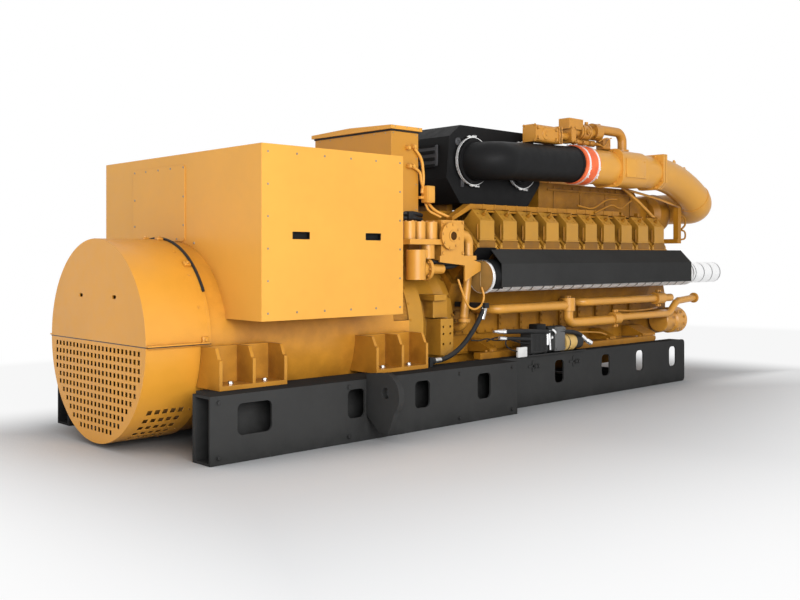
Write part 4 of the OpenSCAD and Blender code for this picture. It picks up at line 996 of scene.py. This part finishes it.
bolt_rows((3740, 3830, 3920), (-645,), (2011,), outward, 0.013)
both_sides()
piece("gas_train_fittings", shaded_gas_enamel)

# ---- Coolant pipes and pumps ----
# Rolled and welded pipe with grooved couplings along the crankcase, fed by centrifugal
# pumps at the front end. It has the pipework's yellow coat.
dress(pipe_enamel, "coolant_pumps", "coolant_pipes")
for x, z, radius in ((3604, 715, 54), (4245, 585, 52), (4901, 733, 54)):
    for way in (-1, 1):
        centre = at(x, -660, z + way * (radius + 8))
        plate(centre - Vector((0.024, 0.014, 0.012)), centre + Vector((0.024, 0.014, 0.012)), 0.003, 1)
        hex_bolt(centre + outward * 0.014, outward, 0.008)
bolt_ring(at(5252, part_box("coolant_pumps")[0].y * 1000, 520), along_set, 86, 8, outward, 0.009, 0.5)
both_sides()
piece("coolant_couplings", pipe_enamel)

# Thin steel oil lines along the sump and beside the doors
pipe([(3818, -600, 492), (4000, -602, 480), (4126, -602, 470), (4328, -600, 406), (4420, -596, 404)], 7, 60)
pipe([(3300, -470, 470), (3500, -560, 462), (3818, -600, 492)], 7, 60)
pipe([(4400, -540, 640), (4620, -590, 626), (4900, -596, 634), (5040, -560, 640)], 8, 60)
piece("oil_lines", pipe_enamel)

# ---- Rear fittings ----
# The thermostat housing with its bolted disc and covers, water pipe and bracket on the
# near rear corner of the engine, and the rubber drain hose in bright swaged ends.
dress(pipe_enamel, "thermostat_housing", "rear_water_pipe")
disc_y = -716
port_centre = at(2242, disc_y, 1237)
bolt_ring(at(2224, disc_y, 1235), along_set, 80, 8, outward, 0.0075, 0.25)
lip = [(-0.004, 0.040), (0.004, 0.040), (0.006, 0.036), (0.006, 0.030), (-0.004, 0.030), (-0.004, 0.040)]
turned(port_centre, outward, lip, 24)
bolt_rows((2165, 2362), (-690,), (1118, 1330), outward, 0.009)
bolt_rows((1897, 1988, 2094), (-672, -608), (1330,), upward, 0.008)
bolt_ring(at(2033, -640, 1012), across_set, 62, 8, -along_set, 0.009)
piece("thermostat_bolts", pipe_enamel)
# A near-black disc in the thermostat port paints the shade inside it
shadow_hole = enamel("painted_port_shadow", (0.07, 0.028, 0.005), 0.6, drift=0.1, wear=0.0, shade_and_dirt=0.6, shine=0.1)
turned(port_centre, outward, [(0.002, 0.0), (0.002, 0.0295), (0.0, 0.0295), (0.0, 0.0)], 24)
piece("disc_port", shadow_hole)

# A steel vent line looped under the bracket, and two cables on its shelf
pipe([(2306, -700, 940), (2311, -712, 901), (2355, -716, 803), (2399, -716, 741), (2466, -716, 724),
      (2539, -716, 759), (2562, -712, 819), (2560, -690, 880)], 8, 60)
piece("vent_line", pipe_enamel)
pipe([(2110, -600, 1068), (2200, -650, 1052), (2300, -668, 1050), (2360, -660, 1066)], 14, 40)
pipe([(2120, -560, 1040), (2210, -620, 1020), (2330, -640, 1030), (2420, -600, 1056)], 16, 40)
piece("shelf_cables", black_rubber)

# The drain hose is rubber over braid, smooth and round, with a swaged nut at each end
dress(black_rubber, "drain_hose")
union_nut((2010, -720, 400), (2052, -720, 401), 21)
union_nut((2052, -720, 401), (2108, -720, 402), 19.5, 18)
union_nut((2554, -720, 752), (2549, -720, 716), 21)
union_nut((2549, -720, 716), (2528, -720, 656), 20, 18)
piece("hose_ends", zinc)

# ---- Prelube unit ----
# A small electric motor and gear pump on a plate bolted to the rail, with a connector box,
# hoses and steel fittings.
dress(black_enamel, "prelube_unit")
pale_moulding = enamel("pale_moulding", (0.72, 0.72, 0.70), 0.5, drift=0.06, worn=(0.9, 0.9, 0.9), wear=0.2,
                       shade_and_dirt=0.35, shade_and_dirt_colour=(0.2, 0.18, 0.16), dust=0.05)
plate(at(2849, -785, 367), at(2951, -762, 440), 0.004)
piece("connector_box", pale_moulding)

# Cooling fins on the motor, its terminal cover and its two feet
for x in range(3013, 3164, 15):
    plate(at(x, -787, 400), at(x + 4, -782, 522), 0.001, 1)
plate(at(3066, -784, 540), at(3172, -700, 596), 0.008)
for x in (3020, 3160):
    plate(at(x - 14, -788, 374), at(x + 14, -700, 384), 0.002, 1)
piece("motor_fins", black_plastic)

# The pump's grey cast body, and its turned head in gold passivated zinc
motor_grey = enamel("motor_grey", (0.10, 0.10, 0.10), 0.5, worn=(0.3, 0.3, 0.3), shade_and_dirt=0.3, dust=0.1, cast=90.0)
plate(at(3275, -790, 384), at(3400, -700, 566), 0.01)
bolt_rows((3292, 3384), (-790,), (404, 548), outward, 0.009)
piece("pump_body", motor_grey)

gold_zinc = enamel("gold_zinc", (0.62, 0.40, 0.12), 0.35, drift=0.15, worn=(0.9, 0.7, 0.4), wear=0.4, shade_and_dirt=0.4,
                   dust=0.05)
pump_profile = [(0, 0), (0, 0.066), (0.02, 0.068), (0.05, 0.062), (0.055, 0.066), (0.12, 0.066), (0.125, 0.06),
                (0.17, 0.052), (0.188, 0.04), (0.188, 0)]
turned(at(3402, -735, 440), along_set, pump_profile, 32)
bolt_ring(at(3457, -735, 440), across_set, 60, 6, -along_set, 0.008)
piece("pump_head", gold_zinc)

# Swaged ends and union nuts on the hoses, and the pump's relief cap
union_nut((3618, -770, 484), (3660, -772, 458), 20)
union_nut((3660, -772, 458), (3690, -774, 442), 15)
union_nut((3690, -774, 442), (3740, -776, 420), 21)
union_nut((2640, -770, 566), (2700, -772, 563), 15)
union_nut((2600, -768, 568), (2645, -770, 566), 10, 16)
union_nut((2700, -772, 563), (2716, -772, 562), 19)
union_nut((2650, -774, 519), (2720, -776, 513), 14)
union_nut((3210, -780, 545), (3222, -780, 400), 9, 16)
union_nut((3180, -786, 520), (3182, -786, 440), 12, 16)
union_nut((3224, -786, 500), (3232, -786, 486), 14)
turned(at(3262, -772, 528), Vector((0.8, 0, 0.6)), band(-0.008, 0.008, 0.024, 0.03), 28)
piece("prelube_unions", rolled_rim)

# The oil hose over the motor, a short one under it, and the unit's own wires
pipe([(2712, -772, 562), (2860, -776, 556), (3000, -778, 550), (3140, -776, 540), (3260, -772, 530),
      (3380, -774, 530), (3500, -776, 518), (3580, -774, 502), (3622, -770, 482)], 17, 60)
pipe([(2716, -776, 513), (2820, -780, 506), (2900, -782, 500), (2990, -776, 492)], 13, 60)
piece("prelube_hoses", black_rubber)
pipe([(2436, -700, 513), (2500, -720, 506), (2560, -730, 520), (2650, -740, 500), (2745, -760, 502),
      (2730, -762, 470), (2760, -764, 440), (2800, -768, 424), (2852, -772, 410)], 5, 30, 8)
pipe([(2600, -700, 496), (2680, -730, 524), (2760, -756, 508), (2900, -770, 470), (2990, -772, 460)], 5, 40, 8)
piece("prelube_wires", black_rubber)

bm.free()
